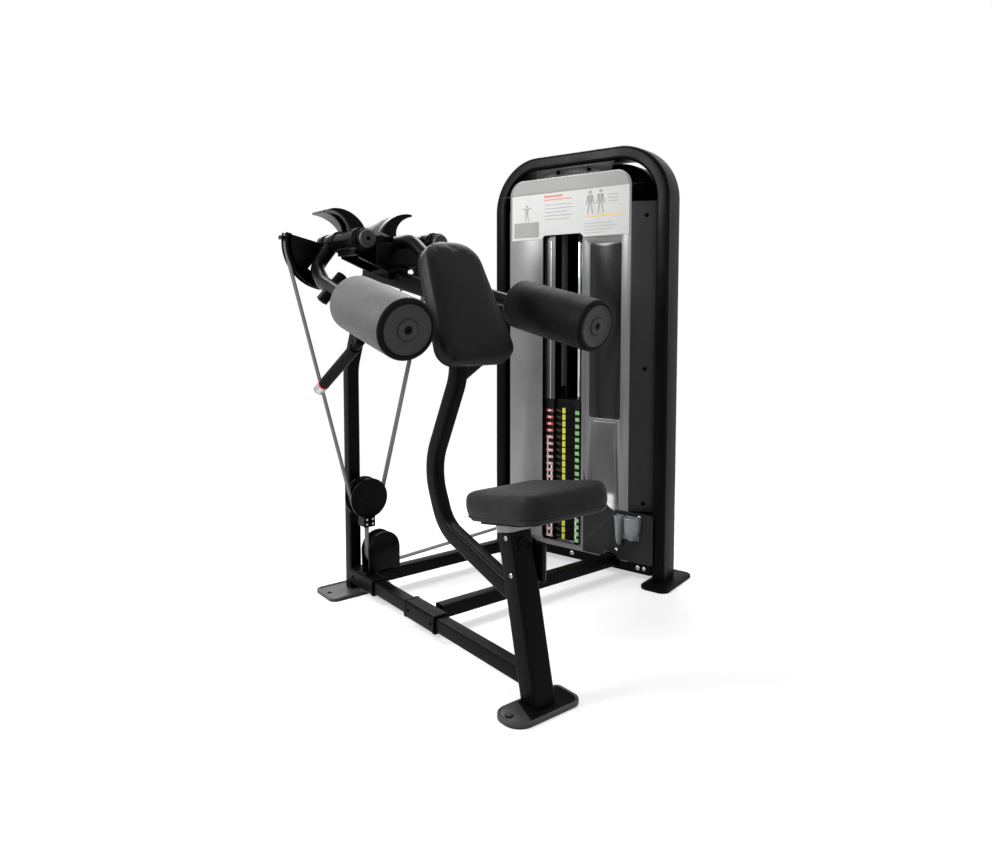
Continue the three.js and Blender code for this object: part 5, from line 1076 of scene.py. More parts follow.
def makePulleys():
    centre = spot(0, beltY, floating["z"])
    makeWheel("floating_pulley_wheel", centre, alongY, pulley["stationRadius"], "floating_wheel", "floating_pulley")
    sidePlates("floating_plate", circleOutline(0, 0, floating["plateRadius"], 64), centre, alongX, alongY, "floating",
               ["floating_carrier"])
    inner = pulley["width"] / 2 + pulley["plateGap"] + pulley["plate"]
    half, low, high = floating["half"], floating["clampLow"], floating["clampHigh"]
    place = Matrix.Translation(centre)
    for mark, y in (("front", -inner), ("rear", inner - pulley["plate"])):
        boxPiece(f"floating_leg_{mark}", (-half, y, low - floating["z"]), (half, y + pulley["plate"], 0), place,
                 headBlack, "floating", bevel=0.0008)
    boxPiece("floating_clamp", (-half, -inner, low - floating["z"]), (half, inner, high - floating["z"]), place,
             headBlack, "floating", bevel=0.0012)
    for row, z in enumerate((low + 0.010, high - 0.010)):
        for column, x in enumerate((-0.011, 0.011)):
            screw(f"floating_clamp_screw_{row}_{column}", spot(x, beltY - inner, z), -alongY, 0.0042, "floating",
                  bareSteel)

    makeWheel("lower_pulley_wheel", lowCentre, runSide, pulley["stationRadius"], "lower_wheel", "lower_pulley")
    drop = lowerBracket["floor"] - pulley["lowHeight"]
    radius = lowerBracket["radius"]
    turns = [math.radians(t) for t in range(180, -1, -6)]
    arch = [(-lowerBracket["left"], drop)] + [(radius * math.cos(a), radius * math.sin(a)) for a in turns]
    arch.append((radius, drop))
    sidePlates("lower_plate", arch, lowCentre, runAlong, runSide, "root", ["lower_pulley_bracket"])
    turn = Matrix((runAlong, runSide, alongZ)).transposed().to_4x4()
    boxPiece("lower_pulley_base", (-lowerBracket["baseLeft"], -inner, drop),
             (lowerBracket["baseRight"], inner, drop + lowerBracket["base"]), Matrix.Translation(lowCentre) @ turn,
             headBlack, "root", bevel=0.0008)
    makeWheel("tower_low_wheel", highCentre, runSide, pulley["towerRadius"], "tower_low_wheel", "tower_bottom_pulley")
    dress("bottom_pulley_bracket", headBlack, 0.0008)
    makeWheel("tower_high_wheel", topMiddle, topSide, topRadius, "tower_high_wheel", "tower_top_pulley")
    dress("top_pulley_bracket", headBlack, 0.0008)


makePulleys()
print("pulleys made")


# Belts: flat bands with softened edges
def beltMesh(name, path, sides):
    half, thin = beltSize["width"] / 2, beltSize["thickness"] / 2
    quarter = [(-half, -thin * 0.4), (-half + 0.0008, -thin), (half - 0.0008, -thin), (half, -thin * 0.4)]
    return sweepMesh(name, quarter + [(-a, -b) for a, b in quarter], path, sides)


def beltPiece(name, path, sides, body, replaced):
    return addPiece(name, beltMesh(name, path, sides), beltGrey, body, replaced, sharp=50)


def arc(centre, radius, first, second, start, end, step=4.0):
    steps = max(2, math.ceil(abs(math.degrees(end - start)) / step))
    return [centre + first * radius * math.cos(start + (end - start) * i / steps)
            + second * radius * math.sin(start + (end - start) * i / steps) for i in range(steps + 1)]


def straight(start, end, spacing=0.02):
    count = max(1, round((end - start).length / spacing))
    return [start.lerp(end, i / count) for i in range(1, count)]


def makeBelts():
    radius, lowRadius, highRadius = cam["beltRadius"], pulley["stationRadius"], pulley["towerRadius"]
    camCentre, wheelCentre = spot(hub["x"], beltY, hub["z"]), spot(0, beltY, floating["z"])
    dx, dz = camCentre.x - wheelCentre.x, camCentre.z - wheelCentre.z
    tangent = math.atan2(dx, dz) + math.asin((radius - lowRadius) / math.hypot(dx, dz))
    camEnd = math.pi - math.radians(cam["anchor"])
    right = arc(camCentre, radius, alongX, alongZ, camEnd, -tangent)
    under = arc(wheelCentre, lowRadius, alongX, alongZ, -tangent, tangent - math.pi)
    mirrored = [Vector((2 * origin.x - p.x, p.y, p.z)) for p in right][::-1]
    path = right + straight(right[-1], under[0]) + under + straight(under[-1], mirrored[0]) + mirrored
    drive = beltPiece("drive_belt_band", path, alongY, "root", ["drive_belt"])
    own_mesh(drive)

    # The stretch below the floating pulley joins a fixed end to a moving one; it is made without a body
    fixedEnd, movingEnd = (beltStart + alongZ * lowerStretch[key] for key in ("start", "end"))
    lower = beltMesh("lift_belt_lower_band", [fixedEnd] + straight(fixedEnd, movingEnd, 0.006) + [movingEnd], runSide)
    piece = bpy.data.objects.new("lift_belt_lower_band", lower)
    collection.objects.link(piece)
    for polygon in lower.polygons:
        polygon.use_smooth = True
    lower.set_sharp_from_angle(angle=math.radians(50))
    lower.materials.append(beltGrey["material"])
    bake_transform(piece)
    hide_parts("lift_belt_lower")

    spread = highCentre - lowCentre
    climb = math.atan2(spread.z, math.hypot(spread.x, spread.y)) + math.asin((lowRadius - highRadius) / spread.length)
    path = arc(lowCentre, lowRadius, runAlong, alongZ, -math.pi, -math.pi / 2 + climb)
    path += arc(highCentre, highRadius, runAlong, alongZ, -math.pi / 2 + climb, 0)
    sides = [runSide] * len(path)
    twist, twistSteps = runSide.angle(topSide), riserBelt["twistSteps"]
    twistStart, twistEnd = riserBelt["twistStart"], pulley["topHeight"] - 2 * topRadius
    for i in range(twistSteps + 1):
        path.append(riser + alongZ * (twistStart + (twistEnd - twistStart) * i / twistSteps))
        sides.append(Matrix.Rotation(twist * i / twistSteps, 3, "Z") @ runSide)
    over = arc(topMiddle, topRadius, topAlong, alongZ, 0, math.pi)
    beltPiece("lift_belt_run_band", path + over, sides + [topSide] * len(over), "root", ["lift_belt_run"])

    low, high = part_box("lift_belt_drop")
    dropStart, dropEnd = stackTop + alongZ * low.z, stackTop + alongZ * high.z
    path = [dropStart] + straight(dropStart, dropEnd, 0.03) + [dropEnd]
    drop = beltPiece("lift_belt_drop_band", path, topSide, "root", ["lift_belt_drop"])
    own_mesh(drop)


makeBelts()
print("belts made")


# Weight tower frame
tower = {"width": 0.747, "height": 1.563, "tubeWidth": 0.049, "tubeDepth": 0.098, "corner": 0.012, "bend": 0.200}
towerFoot = {"front": 0.066, "back": 0.071, "outer": 0.040, "inner": 0.016, "thickness": 0.012, "corner": 0.030}
crossbar = {"bottom": 0.028, "top": 0.070, "boltY": (0.099, 0.377, 0.655), "boltZ": 0.050}


def makeTowerFrame():
    middle, half = tower["tubeDepth"] / 2, tower["tubeWidth"] / 2
    corners = [towerSpot(middle, half, 0.0123), towerSpot(middle, half, tower["height"] - half),
               towerSpot(middle, tower["width"] - half, tower["height"] - half),
               towerSpot(middle, tower["width"] - half, 0.0123)]
    section = tubeSection(tower["tubeDepth"], tower["tubeWidth"], tower["corner"], 7)
    path = bentPath(corners, tower["bend"] - half, 2.5)
    sweptPiece("tower_hoop_skin", section, path, towerX, powderBlack, "root", ["tower_hoop"], 0.0008)
    boxPiece("tower_crossbar_skin", (0, tower["tubeWidth"], crossbar["bottom"]),
             (tower["tubeDepth"], tower["width"] - tower["tubeWidth"], crossbar["top"]), towerMatrix, powderBlack,
             "root", ["tower_crossbar"], 0.003, 3)
    for number, y in enumerate(crossbar["boltY"]):
        screw(f"crossbar_bolt_{number}", towerSpot(0, y, crossbar["boltZ"]), -towerX, 0.0085, "root", bareSteel, 0.7)
    for name, start, end in (("right", -towerFoot["outer"], tower["tubeWidth"] + towerFoot["inner"]),
                             ("left", tower["width"] - tower["tubeWidth"] - towerFoot["inner"],
                              tower["width"] + towerFoot["outer"])):
        outline = roundedOutline(-towerFoot["front"], tower["tubeDepth"] + towerFoot["back"], start, end,
                                 towerFoot["corner"], 9)
        plate(f"tower_foot_pad_{name}", [outline], towerFoot["thickness"], towerSpot(0, 0, 0), towerX, towerY,
              footRubber,
              "root", [f"tower_foot_{name}"], soft=0.003)


makeTowerFrame()
print("tower frame made")


# Front shroud with its slot, window and scoop; plates face the user, outlines are (y, z) in the tower
shroud = {"thickness": 0.004, "right": 0.139, "left": 0.669, "bottom": 0.064, "top": 1.478, "corner": 0.060,
          "returnBottom": 0.252, "returnTop": 1.361, "returnDepth": 0.045, "railNotch": 0.030, "notchTop": 0.086,
          "slot": (0.338, 0.514, 0.084, 1.262), "slotCorner": 0.014, "holeZ": (0.281, 0.770, 1.312),
          "railY": (0.515, 0.897)}
panelX = -0.0003 - shroud["thickness"]
pane = {"right": 0.176, "left": 0.304, "bottom": 0.580, "top": 1.222, "corner": 0.012}
scoop = {"topRight": 0.190, "topLeft": 0.292, "bottomRight": 0.176, "bottomLeft": 0.318, "bottom": 0.230, "top": 0.572,
         "depth": 0.030}
placard = {"right": 0.146, "left": 0.658, "bottom": 1.248, "top": 1.474, "corner": 0.058, "band": 1.421,
           "patch": (0.532, 0.648, 1.258, 1.316)}
placardLines = {"main": {"left": 0.505, "top": 1.374, "pitch": 0.0135, "reach": (0.120, 0.126, 0.100, 0.124, 0.112)},
                "lower": {"left": 0.345, "top": 1.300, "pitch": 0.0115, "share": (0.9, 1, 0.95, 0.7)},
                "right": {"top": 1.392, "pitch": 0.012}}
cover = {"right": 0.0385, "left": 0.192, "bottom": 0.068, "top": 0.250,
         "screws": ((0.185, 0.184), (0.184, 0.102), (0.093, 0.237)), "cornerBolt": (0.075, 0.050)}
topBracket = {"outline": [(0.232, 1.471), (0.566, 1.471), (0.540, 1.5137), (0.214, 1.5137)],
              "holes": ((0.320, 1.495), (0.454, 1.495)), "holeRadius": 0.009}
pocket = {"right": 0.092, "left": 0.188, "bottom": 0.149, "top": 0.236}


def facingPlate(name, outlines, back, thickness, finish, replaced=(), soft=0.0008):
    return plate(name, outlines, thickness, towerSpot(back, 0, 0), towerY, alongZ, finish, "root", replaced, soft)


# The rounded upper half of a plate's outline
def shoulders(size):
    right, left, bottom, top, corner = (size[k] for k in ("right", "left", "bottom", "top", "corner"))
    return [p for p in roundedOutline(right, left, bottom, top, corner, 14) if p[1] > top - corner - 1e-6]


# The panel's outline: rounded shoulders at the top, square feet with a notch for each rail
def shroudOutline():
    right, left, bottom = shroud["right"], shroud["left"], shroud["bottom"]
    notches = []
    for y in shroud["railY"]:
        middle = (y - towerPlace["y"]) / math.cos(math.radians(towerPlace["turn"]))
        notches.append((middle - shroud["railNotch"], middle + shroud["railNotch"]))
    lower = [(right, bottom)]
    for start, end in notches:
        start, end = max(start, right), min(end, left)
        if end <= start:
            continue
        lower += [(start, bottom), (start, shroud["notchTop"]), (end, shroud["notchTop"]), (end, bottom)]
    if lower[-1][0] < left - 1e-6:
        lower.append((left, bottom))
    cleaned = [p for i, p in enumerate(lower) if i == 0 or (Vector(p) - Vector(lower[i - 1])).length > 1e-6]
    return cleaned + shoulders(shroud)


def scoopOutline():
    return [(scoop["bottomRight"], scoop["bottom"]), (scoop["bottomLeft"], scoop["bottom"]),
            (scoop["topLeft"], scoop["top"]), (scoop["topRight"], scoop["top"])]


def makeShroud():
    right, left, bottom, top = shroud["slot"]
    slotOutline = roundedOutline(right, left, bottom, top, shroud["slotCorner"], 6)
    paneOutline = roundedOutline(pane["right"], pane["left"], pane["bottom"], pane["top"], pane["corner"], 6)
    facingPlate("shroud_panel", [shroudOutline(), slotOutline, paneOutline, scoopOutline()], panelX,
                shroud["thickness"], shroudGrey, ["front_shroud"], soft=0.0012)
    depth, thickness = shroud["returnDepth"], shroud["thickness"]
    for mark, edge, outer, sign in (("right", shroud["right"], tower["tubeWidth"] + 0.0003, 1),
                                    ("left", shroud["left"], tower["width"] - tower["tubeWidth"] - 0.0003, -1)):
        outline = [(panelX, edge), (panelX + thickness, edge + sign * 0.008), (depth, outer + sign * thickness),
                   (depth, outer), (panelX, edge - sign * 0.002)]
        if sign < 0:
            outline = outline[::-1]
        mesh = plateMesh(f"shroud_return_{mark}", [outline], shroud["returnTop"] - shroud["returnBottom"],
                         towerSpot(0, 0, shroud["returnBottom"]), towerX, towerY, 0.0006)
        addPiece(f"shroud_return_{mark}", mesh, shroudSide, "root")
        middleX, middleY = (panelX + depth) / 2, (edge + outer) / 2 - sign * 0.0015
        slope = Vector((outer - edge, depth - panelX)).normalized()
        outward = towerMatrix.to_3x3() @ Vector((-abs(slope.x), -sign * abs(slope.y), 0))
        for number, z in enumerate(shroud["holeZ"]):
            disc(f"return_hole_{mark}_{number}", 0.0075, 0, 0.0008, towerSpot(middleX, middleY, z) + outward * 0.0008,
                 outward, shadowBlack, "root", 28)
    makeScoop()
    apron = [(shroud["slot"][0] - 0.012, shroud["bottom"] + 0.004), (shroud["slot"][0] - 0.012, 0.380),
             (scoop["bottomLeft"] - 0.004, 0.310), (scoop["bottomRight"] + 0.010, 0.236),
             (shroud["right"] + 0.004, 0.236), (shroud["right"] + 0.004, shroud["notchTop"] + 0.002),
             (0.176, shroud["notchTop"] + 0.002),
             (0.234, shroud["notchTop"] + 0.002), (0.236, shroud["bottom"] + 0.004)]
    facingPlate("shroud_apron", [apron[::-1]], panelX - 0.0009, 0.0012, apronGrey, soft=0.0004)
    crease = [(shroud["slot"][0] - 0.014, 0.100), (shroud["slot"][0] - 0.014, 0.118), (0.200, 0.2335), (0.186, 0.2335)]
    facingPlate("shroud_crease", [crease[::-1]], panelX - 0.0014, 0.0012, shroudSide, soft=0.0004)


def gridFaces(rows, columns):
    corners = [i * (columns + 1) + k for i in range(rows) for k in range(columns)]
    return [(a, a + 1, a + columns + 2, a + columns + 1) for a in corners]


def thicken(piece, thickness, offset):
    shell = piece.modifiers.new("shell", "SOLIDIFY")
    shell.thickness = thickness
    shell.offset = offset


# The scoop is a curved tray that deepens downwards and runs out at its foot
def makeScoop():
    rows, columns = 44, 20
    vertices = []
    for i in range(rows + 1):
        v = i / rows
        z = scoop["bottom"] + (scoop["top"] - scoop["bottom"]) * v
        right = scoop["bottomRight"] + (scoop["topRight"] - scoop["bottomRight"]) * v
        left = scoop["bottomLeft"] + (scoop["topLeft"] - scoop["bottomLeft"]) * v
        rise = min(1, v / 0.24)
        along = math.sin(math.pi / 2 * min(1, (1 - v) * 1.25)) ** 1.1 * rise * rise * (3 - 2 * rise)
        for k in range(columns + 1):
            u = k / columns
            dip = scoop["depth"] * max(0.0, along) * (1 - abs(2 * u - 1) ** 6)
            vertices.append(towerSpot(panelX + 0.0006 + dip, right + (left - right) * u, z))
    mesh = meshFrom("shroud_scoop", vertices, gridFaces(rows, columns))
    thicken(addPiece("shroud_scoop", mesh, scoopGrey, "root", sharp=80), 0.002, 0)


def makeCovers():
    inset = 0.0005
    glass = roundedOutline(pane["right"] + inset, pane["left"] - inset, pane["bottom"] + inset, pane["top"] - inset,
                           pane["corner"], 6)
    facingPlate("smoked_pane", [glass], panelX + 0.0008, 0.003, smokedPane, ["smoked_window"])
    outline = roundedOutline(cover["right"], cover["left"], cover["bottom"], cover["top"], 0.006, 4)
    facingPlate("lower_cover_skin", [outline], panelX - 0.0033, 0.003, apronGrey, ["lower_cover"], 0.001)
    for number, (y, z) in enumerate(cover["screws"]):
        screw(f"cover_screw_{number}", towerSpot(panelX - 0.0033, y, z), -towerX, 0.0055, "root", chrome)
    screw("crossbar_corner_bolt", towerSpot(-0.0002, *cover["cornerBolt"]), -towerX, 0.0070, "root", bareSteel)
    makePocket()
    holes = [circleOutline(y, z, topBracket["holeRadius"], 24) for y, z in topBracket["holes"]]
    facingPlate("top_bracket_skin", [topBracket["outline"]] + holes, 0.008, 0.005, coverGrey, ["top_bracket"])
    dress("rear_shroud", darkPlastic, 0.0015)


# The pocket has two lobes, open at the top: a long tapering one and a short one with a round foot
pocketLobes = ({"right": 0.150, "left": pocket["left"], "depth": 0.026, "drop": 0.022, "taper": 0.72, "power": 1.0},
               {"right": pocket["right"] - 0.006, "left": 0.148, "depth": 0.034, "drop": 0, "taper": 0.62,
                "power": 3.2})


def makePocket():
    back = panelX - 0.0036
    rows = columns = 14
    for number, lobe in enumerate(pocketLobes):
        name, low, vertices = f"pocket_lobe_{number}", pocket["bottom"] - lobe["drop"], []
        start, end = lobe["right"], lobe["left"]
        for i in range(rows + 1):
            v = i / rows
            z = low + (pocket["top"] - low) * v
            narrow = 1 - lobe["taper"] * (1 - v) ** lobe["power"]
            swelling = 0.45 + 0.55 * math.sin(math.pi / 2 * min(1, v * 2.4)) ** 0.6
            for k in range(columns + 1):
                u = k / columns
                bulge = math.sin(math.pi * u) ** 0.45 * swelling
                vertices.append(towerSpot(back - lobe["depth"] * bulge,
                                          (start + end) / 2 + (end - start) * (u - 0.5) * narrow, z))
        piece = addPiece(name, meshFrom(name, vertices, gridFaces(rows, columns)), clearPlastic, "root",
                         ["accessory_pocket"] if number == 0 else (), sharp=80)
        thicken(piece, 0.0022, 1)
    backing = roundedOutline(pocket["right"], pocket["left"], pocket["bottom"], pocket["top"], 0.008, 5)
    facingPlate("pocket_back", [backing], back - 0.0016, 0.0015, clearPlastic)


makeShroud()
makeCovers()
print("shroud made")


# Placard: a pale card with a darker band, plain bars for lines of print, and plain figures
def barsMesh(name, bars, front, back):
    return joinMeshes(name, [boxMesh(name, (front, y0, z0), (back, y1, z1), towerMatrix) for y0, y1, z0, z1 in bars])


def barsPiece(name, bars, depth, finish):
    return addPiece(name, barsMesh(name, bars, depth - 0.0004, depth), finish, "root", sharp=30)


def makePlacard():
    back = panelX - 0.0022
    right, left, bottom = placard["right"], placard["left"], placard["bottom"]
    slotRight, slotLeft, _, slotTop = shroud["slot"]
    upper = shoulders(placard)
    notch = [(slotRight - 0.004, bottom), (slotRight - 0.004, slotTop - 0.012), (slotRight + 0.008, slotTop),
             (slotLeft - 0.008, slotTop), (slotLeft + 0.004, slotTop - 0.012), (slotLeft + 0.004, bottom)]
    outline = [(right, bottom)] + notch + [(left, bottom)] + upper
    facingPlate("placard_card", [outline], back, 0.0018, placardWhite, ["info_placard"], soft=0.0004)
    bandLine = placard["band"]
    band = [(right + 0.001, bandLine)] + [p for p in upper if p[1] > bandLine] + [(left - 0.001, bandLine)]
    facingPlate("placard_band", [band], back - 0.0005, 0.0006, placardBand, soft=0.0001)
    patch = roundedOutline(*placard["patch"], 0.004, 3)
    facingPlate("placard_patch", [patch], back - 0.0005, 0.0006, placardBand, soft=0.0001)
    face = back - 0.0001
    ink = []
    lines = placardLines["main"]
    for row, reach in enumerate(lines["reach"]):
        z = lines["top"] - row * lines["pitch"]
        ink.append((lines["left"] - reach, lines["left"], z, z + 0.0026))
    lines = placardLines["lower"]
    for row, share in enumerate(lines["share"]):
        z = lines["top"] - row * lines["pitch"]
        ink.append((lines["left"] - 0.150 * share, lines["left"] - 0.015, z - 0.006, z - 0.0042))
    lines = placardLines["right"]
    for row in range(3):
        z = lines["top"] - row * lines["pitch"]
        ink.append((0.190, 0.232, z, z + 0.0025))
    barsPiece("placard_lines", ink, face, placardInk)
    barsPiece("placard_red_lines", [(0.425, 0.508, 1.404, 1.411), (0.385, 0.508, 1.393, 1.3965)], face, placardRed)
    barsPiece("placard_yellow_line", [(0.160, 0.320, 1.318, 1.324)], face, placardYellow)
    figure(0.588, 1.352, 0.062, face, True, "one")
    figure(0.306, 1.372, 0.086, face, False, "two")
    figure(0.262, 1.374, 0.086, face, False, "three")


# A plain upright figure: round head, trunk, arms and legs, with no features
def figure(middle, centreZ, height, depth, armsOut, name):
    unit = height / 10
    strokes, outlines = [], []
    shoulder, hip, foot = centreZ + unit * 2.6, centreZ - unit * 0.6, centreZ - unit * 5
    hand = (unit * 3.4, shoulder + unit * 0.3) if armsOut else (unit * 1.9, hip - unit * 0.4)
    for side in (-1, 1):
        strokes.append([(middle + side * unit * 0.9, shoulder), (middle + side * hand[0], hand[1])])
        strokes.append([(middle + side * unit * 0.5, hip), (middle + side * unit * 1.2, foot)])
    for (y0, z0), (y1, z1) in strokes:
        direction = Vector((y1 - y0, z1 - z0))
        across = Vector((-direction.y, direction.x)).normalized() * unit * 0.42
        outline = [(y0 + across.x, z0 + across.y), (y0 - across.x, z0 - across.y),
                   (y1 - across.x * 0.6, z1 - across.y * 0.6), (y1 + across.x * 0.6, z1 + across.y * 0.6)]
        turning = (Vector(outline[1]) - Vector(outline[0])).cross(Vector(outline[2]) - Vector(outline[1]))
        outlines.append(outline if turning >= 0 else outline[::-1])
    outlines.append([(middle - unit * 0.85, hip), (middle + unit * 0.85, hip),
                     (middle + unit * 1.3, shoulder + unit * 0.3), (middle - unit * 1.3, shoulder + unit * 0.3)])
    outlines.append(circleOutline(middle, shoulder + unit * 1.5, unit * 0.75, 20))
    parts = [plateMesh(name, [outline], 0.0004, towerSpot(depth - 0.0004, 0, 0), towerY, alongZ, 0.00005)
             for outline in outlines]
    addPiece("placard_figure_" + name, joinMeshes(name, parts), placardInk, "root")


makePlacard()
print("placard made")


# Weight stack with its label strips, all plain colour
stack = {"width": 0.210, "depth": 0.090, "plate": 0.024, "pitch": 0.026, "count": 20, "lifted": 15, "bottom": 0.0846}
guideSpacing = 0.070
plateFront = {"boss": (0.394, 0.414), "hole": 0.404, "holeRadius": 0.0042, "tag": (0.4285, 0.4425),
              "fin": (0.4490, 0.4740)}
strips = {"x": 0.016, "thickness": 0.003, "bottom": 0.074, "headroom": 0.026, "red": (0.4735, 0.5130),
          "green": (0.3560, 0.3790), "firstPink": 4, "firstBar": 5, "firstSecondBar": 9, "firstPale": 14}


# A slanting fin on a plate's front edge
def finMesh(front, right, left, bottom, top):
    slant = 0.005
    outline = [(right, bottom), (left, bottom + slant), (left, top), (right, top - slant)]
    return plateMesh("fin", [outline], 0.0014, towerSpot(front - 0.0014, 0, 0), towerY, alongZ, 0.0003)


def makeStack():
    front, back = stackPlace["x"] - stack["depth"] / 2, stackPlace["x"] + stack["depth"] / 2
    right, left = stackPlace["y"] - stack["width"] / 2, stackPlace["y"] + stack["width"] / 2
    dress("stack_base", bareSteel)
    resting = stack["count"] - stack["lifted"]
    holeProfile = [(0, 0), (plateFront["holeRadius"], 0), (plateFront["holeRadius"], 0.0026), (0, 0.0026)]
    for node, body, first, last in (("weight_plates_resting", "root", 0, resting),
                                    ("weight_plates_lifted", "stack", resting, stack["count"])):
        parts, tags, fins, holes = [], [], [], []
        for i in range(first, last):
            level = stack["bottom"] + i * stack["pitch"]
            z = level + (0.0002 if i >= resting else 0)
            parts.append(boxMesh(node, (front, right, z), (back, left, z + stack["plate"]), towerMatrix))
            parts.append(boxMesh(node, (front - 0.0012, plateFront["boss"][0], z + 0.003),
                                 (front + 0.001, plateFront["boss"][1], z + 0.016), towerMatrix))
            fins.append(finMesh(front, *plateFront["fin"], z + 0.004, z + 0.017))
            tags.append((*plateFront["tag"], z + 0.0005, z + 0.0215))
            middle = towerSpot(front + 0.0008, plateFront["hole"], level + stack["plate"] / 2)
            holes.append(turnedMesh("pin_hole", holeProfile, middle, -towerX, 16))
        addPiece(node + "_skin", joinMeshes(node, parts), castPlates, body, [node], bevel=0.0012)
        addPiece(node + "_tags", barsMesh(node, tags, front - 0.0016, front), labelYellow, body, bevel=0.0004)
        addPiece(node + "_fins", joinMeshes(node, fins), finGrey, body)
        addPiece(node + "_holes", joinMeshes(node, holes), shadowBlack, body)
    dress("stack_head", castPlates, 0.0012)
    dress("selector_pin", chrome, 0.0006)
    for mark, side in (("right", -1), ("left", 1)):
        y = stackPlace["y"] + side * guideSpacing
        low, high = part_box(f"guide_rod_{mark}")
        rod(f"guide_rod_bar_{mark}", towerSpot(stackPlace["x"], y, low.z), towerSpot(stackPlace["x"], y, high.z), 0.009,
            chrome, "root", replaced=[f"guide_rod_{mark}"])
    makeLabelStrips()
    makeSlotCheeks()


# Folded metal inside the slot: a cheek along its right edge and a guard above the strips
def makeSlotCheeks():
    right, _, _, top = shroud["slot"]
    stripTop = stack["bottom"] + stack["count"] * stack["pitch"] + strips["headroom"]
    outline = [(panelX + 0.001, right - 0.0016), (panelX + 0.031, right + 0.020), (panelX + 0.031, right + 0.0225),
               (panelX + 0.001, right + 0.0004)]
    mesh = plateMesh("slot_cheek", [outline], top - stripTop - 0.020, towerSpot(0, 0, stripTop), towerX, towerY, 0.0003)
    addPiece("slot_cheek", mesh, cheekGrey, "root")
    boxPiece("slot_guard", (0.016, 0.470, stripTop + 0.003), (0.018, 0.5135, top - 0.002), towerMatrix, cheekGrey,
             "root", bevel=0.0005)
    boxPiece("slot_guard_lip", (0.0145, 0.4870, stripTop + 0.003), (0.0162, 0.4905, top - 0.020), towerMatrix,
             bareSteel, "root", bevel=0.0004)


# The strips stand on the slot's two edges, one tag to a plate
def makeLabelStrips():
    x = strips["x"]
    top = stack["bottom"] + stack["count"] * stack["pitch"] + strips["headroom"]
    for mark in ("red", "green"):
        start, end = strips[mark]
        boxPiece(f"label_strip_{mark}", (x, start, strips["bottom"]), (x + strips["thickness"], end, top), towerMatrix,
                 labelBlack, "root", bevel=0.0006)
    tags = {mark: [] for mark in ("red", "pink", "white", "green", "pale")}
    for i in range(stack["count"]):
        z = stack["bottom"] + i * stack["pitch"] + 0.004
        head, following = z + 0.011, z + stack["pitch"]
        fromTop = stack["count"] - 1 - i
        tags["red" if fromTop < strips["firstPink"] else "pink"].append((0.4765, 0.5085, z, head))
        tags["white"].append((0.4860, 0.4990, z + 0.002, head - 0.002))
        if fromTop >= strips["firstBar"]:
            tags["white"].append((0.4985, 0.5035, head, following))
        if fromTop >= strips["firstSecondBar"]:
            tags["white"].append((0.4790, 0.4870, head, following))
        tags["green"].append((0.3590, 0.3765, z - 0.002, z + 0.0125))
        if fromTop >= strips["firstPale"]:
            tags["pale"].append((0.3690, 0.3765, z + 0.0125, following))
    finishes = {"red": labelRed, "pink": labelPink, "white": labelWhite, "green": labelGreen, "pale": labelWhite}
    for mark, finish in finishes.items():
        name, lift = "strip_tags_" + mark, 0.0008 if finish is labelWhite else 0.0004
        addPiece(name, barsMesh(name, tags[mark], x - lift, x + 0.0004), finish, "root", bevel=0.0002)


makeStack()
print("stack made")


# Pads: a lofted form, swelled by cloth pressure, then its seam
seatPad = {"halfRear": 0.1365, "halfFront": 0.1195, "halfDepth": 0.1425, "cornerRear": 0.042, "cornerFront": 0.024,
           "rise": 0.0735, "topEdge": 0.020, "lowEdge": 0.021, "crown": 0.0035, "centreY": 0.007, "bottom": 0.4755,
           "tilt": math.radians(10), "seam": 0.0125}
chestPad = {"bottomY": 0.2358, "bottomZ": 0.8391, "lean": math.radians(26.6), "length": 0.3652, "halfBottom": 0.1263,
            "halfTop": 0.0924, "thickness": 0.0587, "cornerBottom": 0.0456, "cornerTop": 0.077, "frontEdge": 0.0185,
            "seam": 0.008, "crown": 0.003, "crownRoom": 0.004}


swelling = {"voxel": 0.005, "pressure": 3.0, "cap": 0.002, "frames": 20}


# A shield-shaped outline: straight sides from a low width to a high one, and two corner radii
def shieldOutline(low, high, half, lowCorner, highCorner, steps=10):
    side = Vector((high - low, 2 * half)).normalized()
    outward = Vector((side.y, -side.x))
    slope = math.atan2(outward.y, outward.x)
    points = []
    for radius, level, start, end in ((lowCorner, -half + lowCorner, -math.pi / 2, slope),
                                      (highCorner, half - highCorner, slope, math.pi / 2)):
        wall = low + (high - low) * (level + half) / (2 * half)
        centre = wall - radius / outward.x
        for i in range(steps + 1):
            angle = start + (end - start) * i / steps
            points.append((centre + radius * math.cos(angle), level + radius * math.sin(angle)))
    points += [(-a, b) for a, b in reversed(points)]
    dense = []
    for (a0, b0), (a1, b1) in zip(points, points[1:] + points[:1]):
        pieces = max(1, round(math.hypot(a1 - a0, b1 - b0) / 0.012))
        dense += [(a0 + (a1 - a0) * i / pieces, b0 + (b1 - b0) * i / pieces) for i in range(pieces)]
    return dense


# The outline moved inward by a distance, each point along its own normal
def drawnIn(outline, inset):
    count = len(outline)
    moved = []
    for i in range(count):
        a, b = Vector(outline[i - 1]), Vector(outline[(i + 1) % count])
        along = (b - a).normalized()
        moved.append((outline[i][0] - along.y * inset, outline[i][1] + along.x * inset))
    return moved


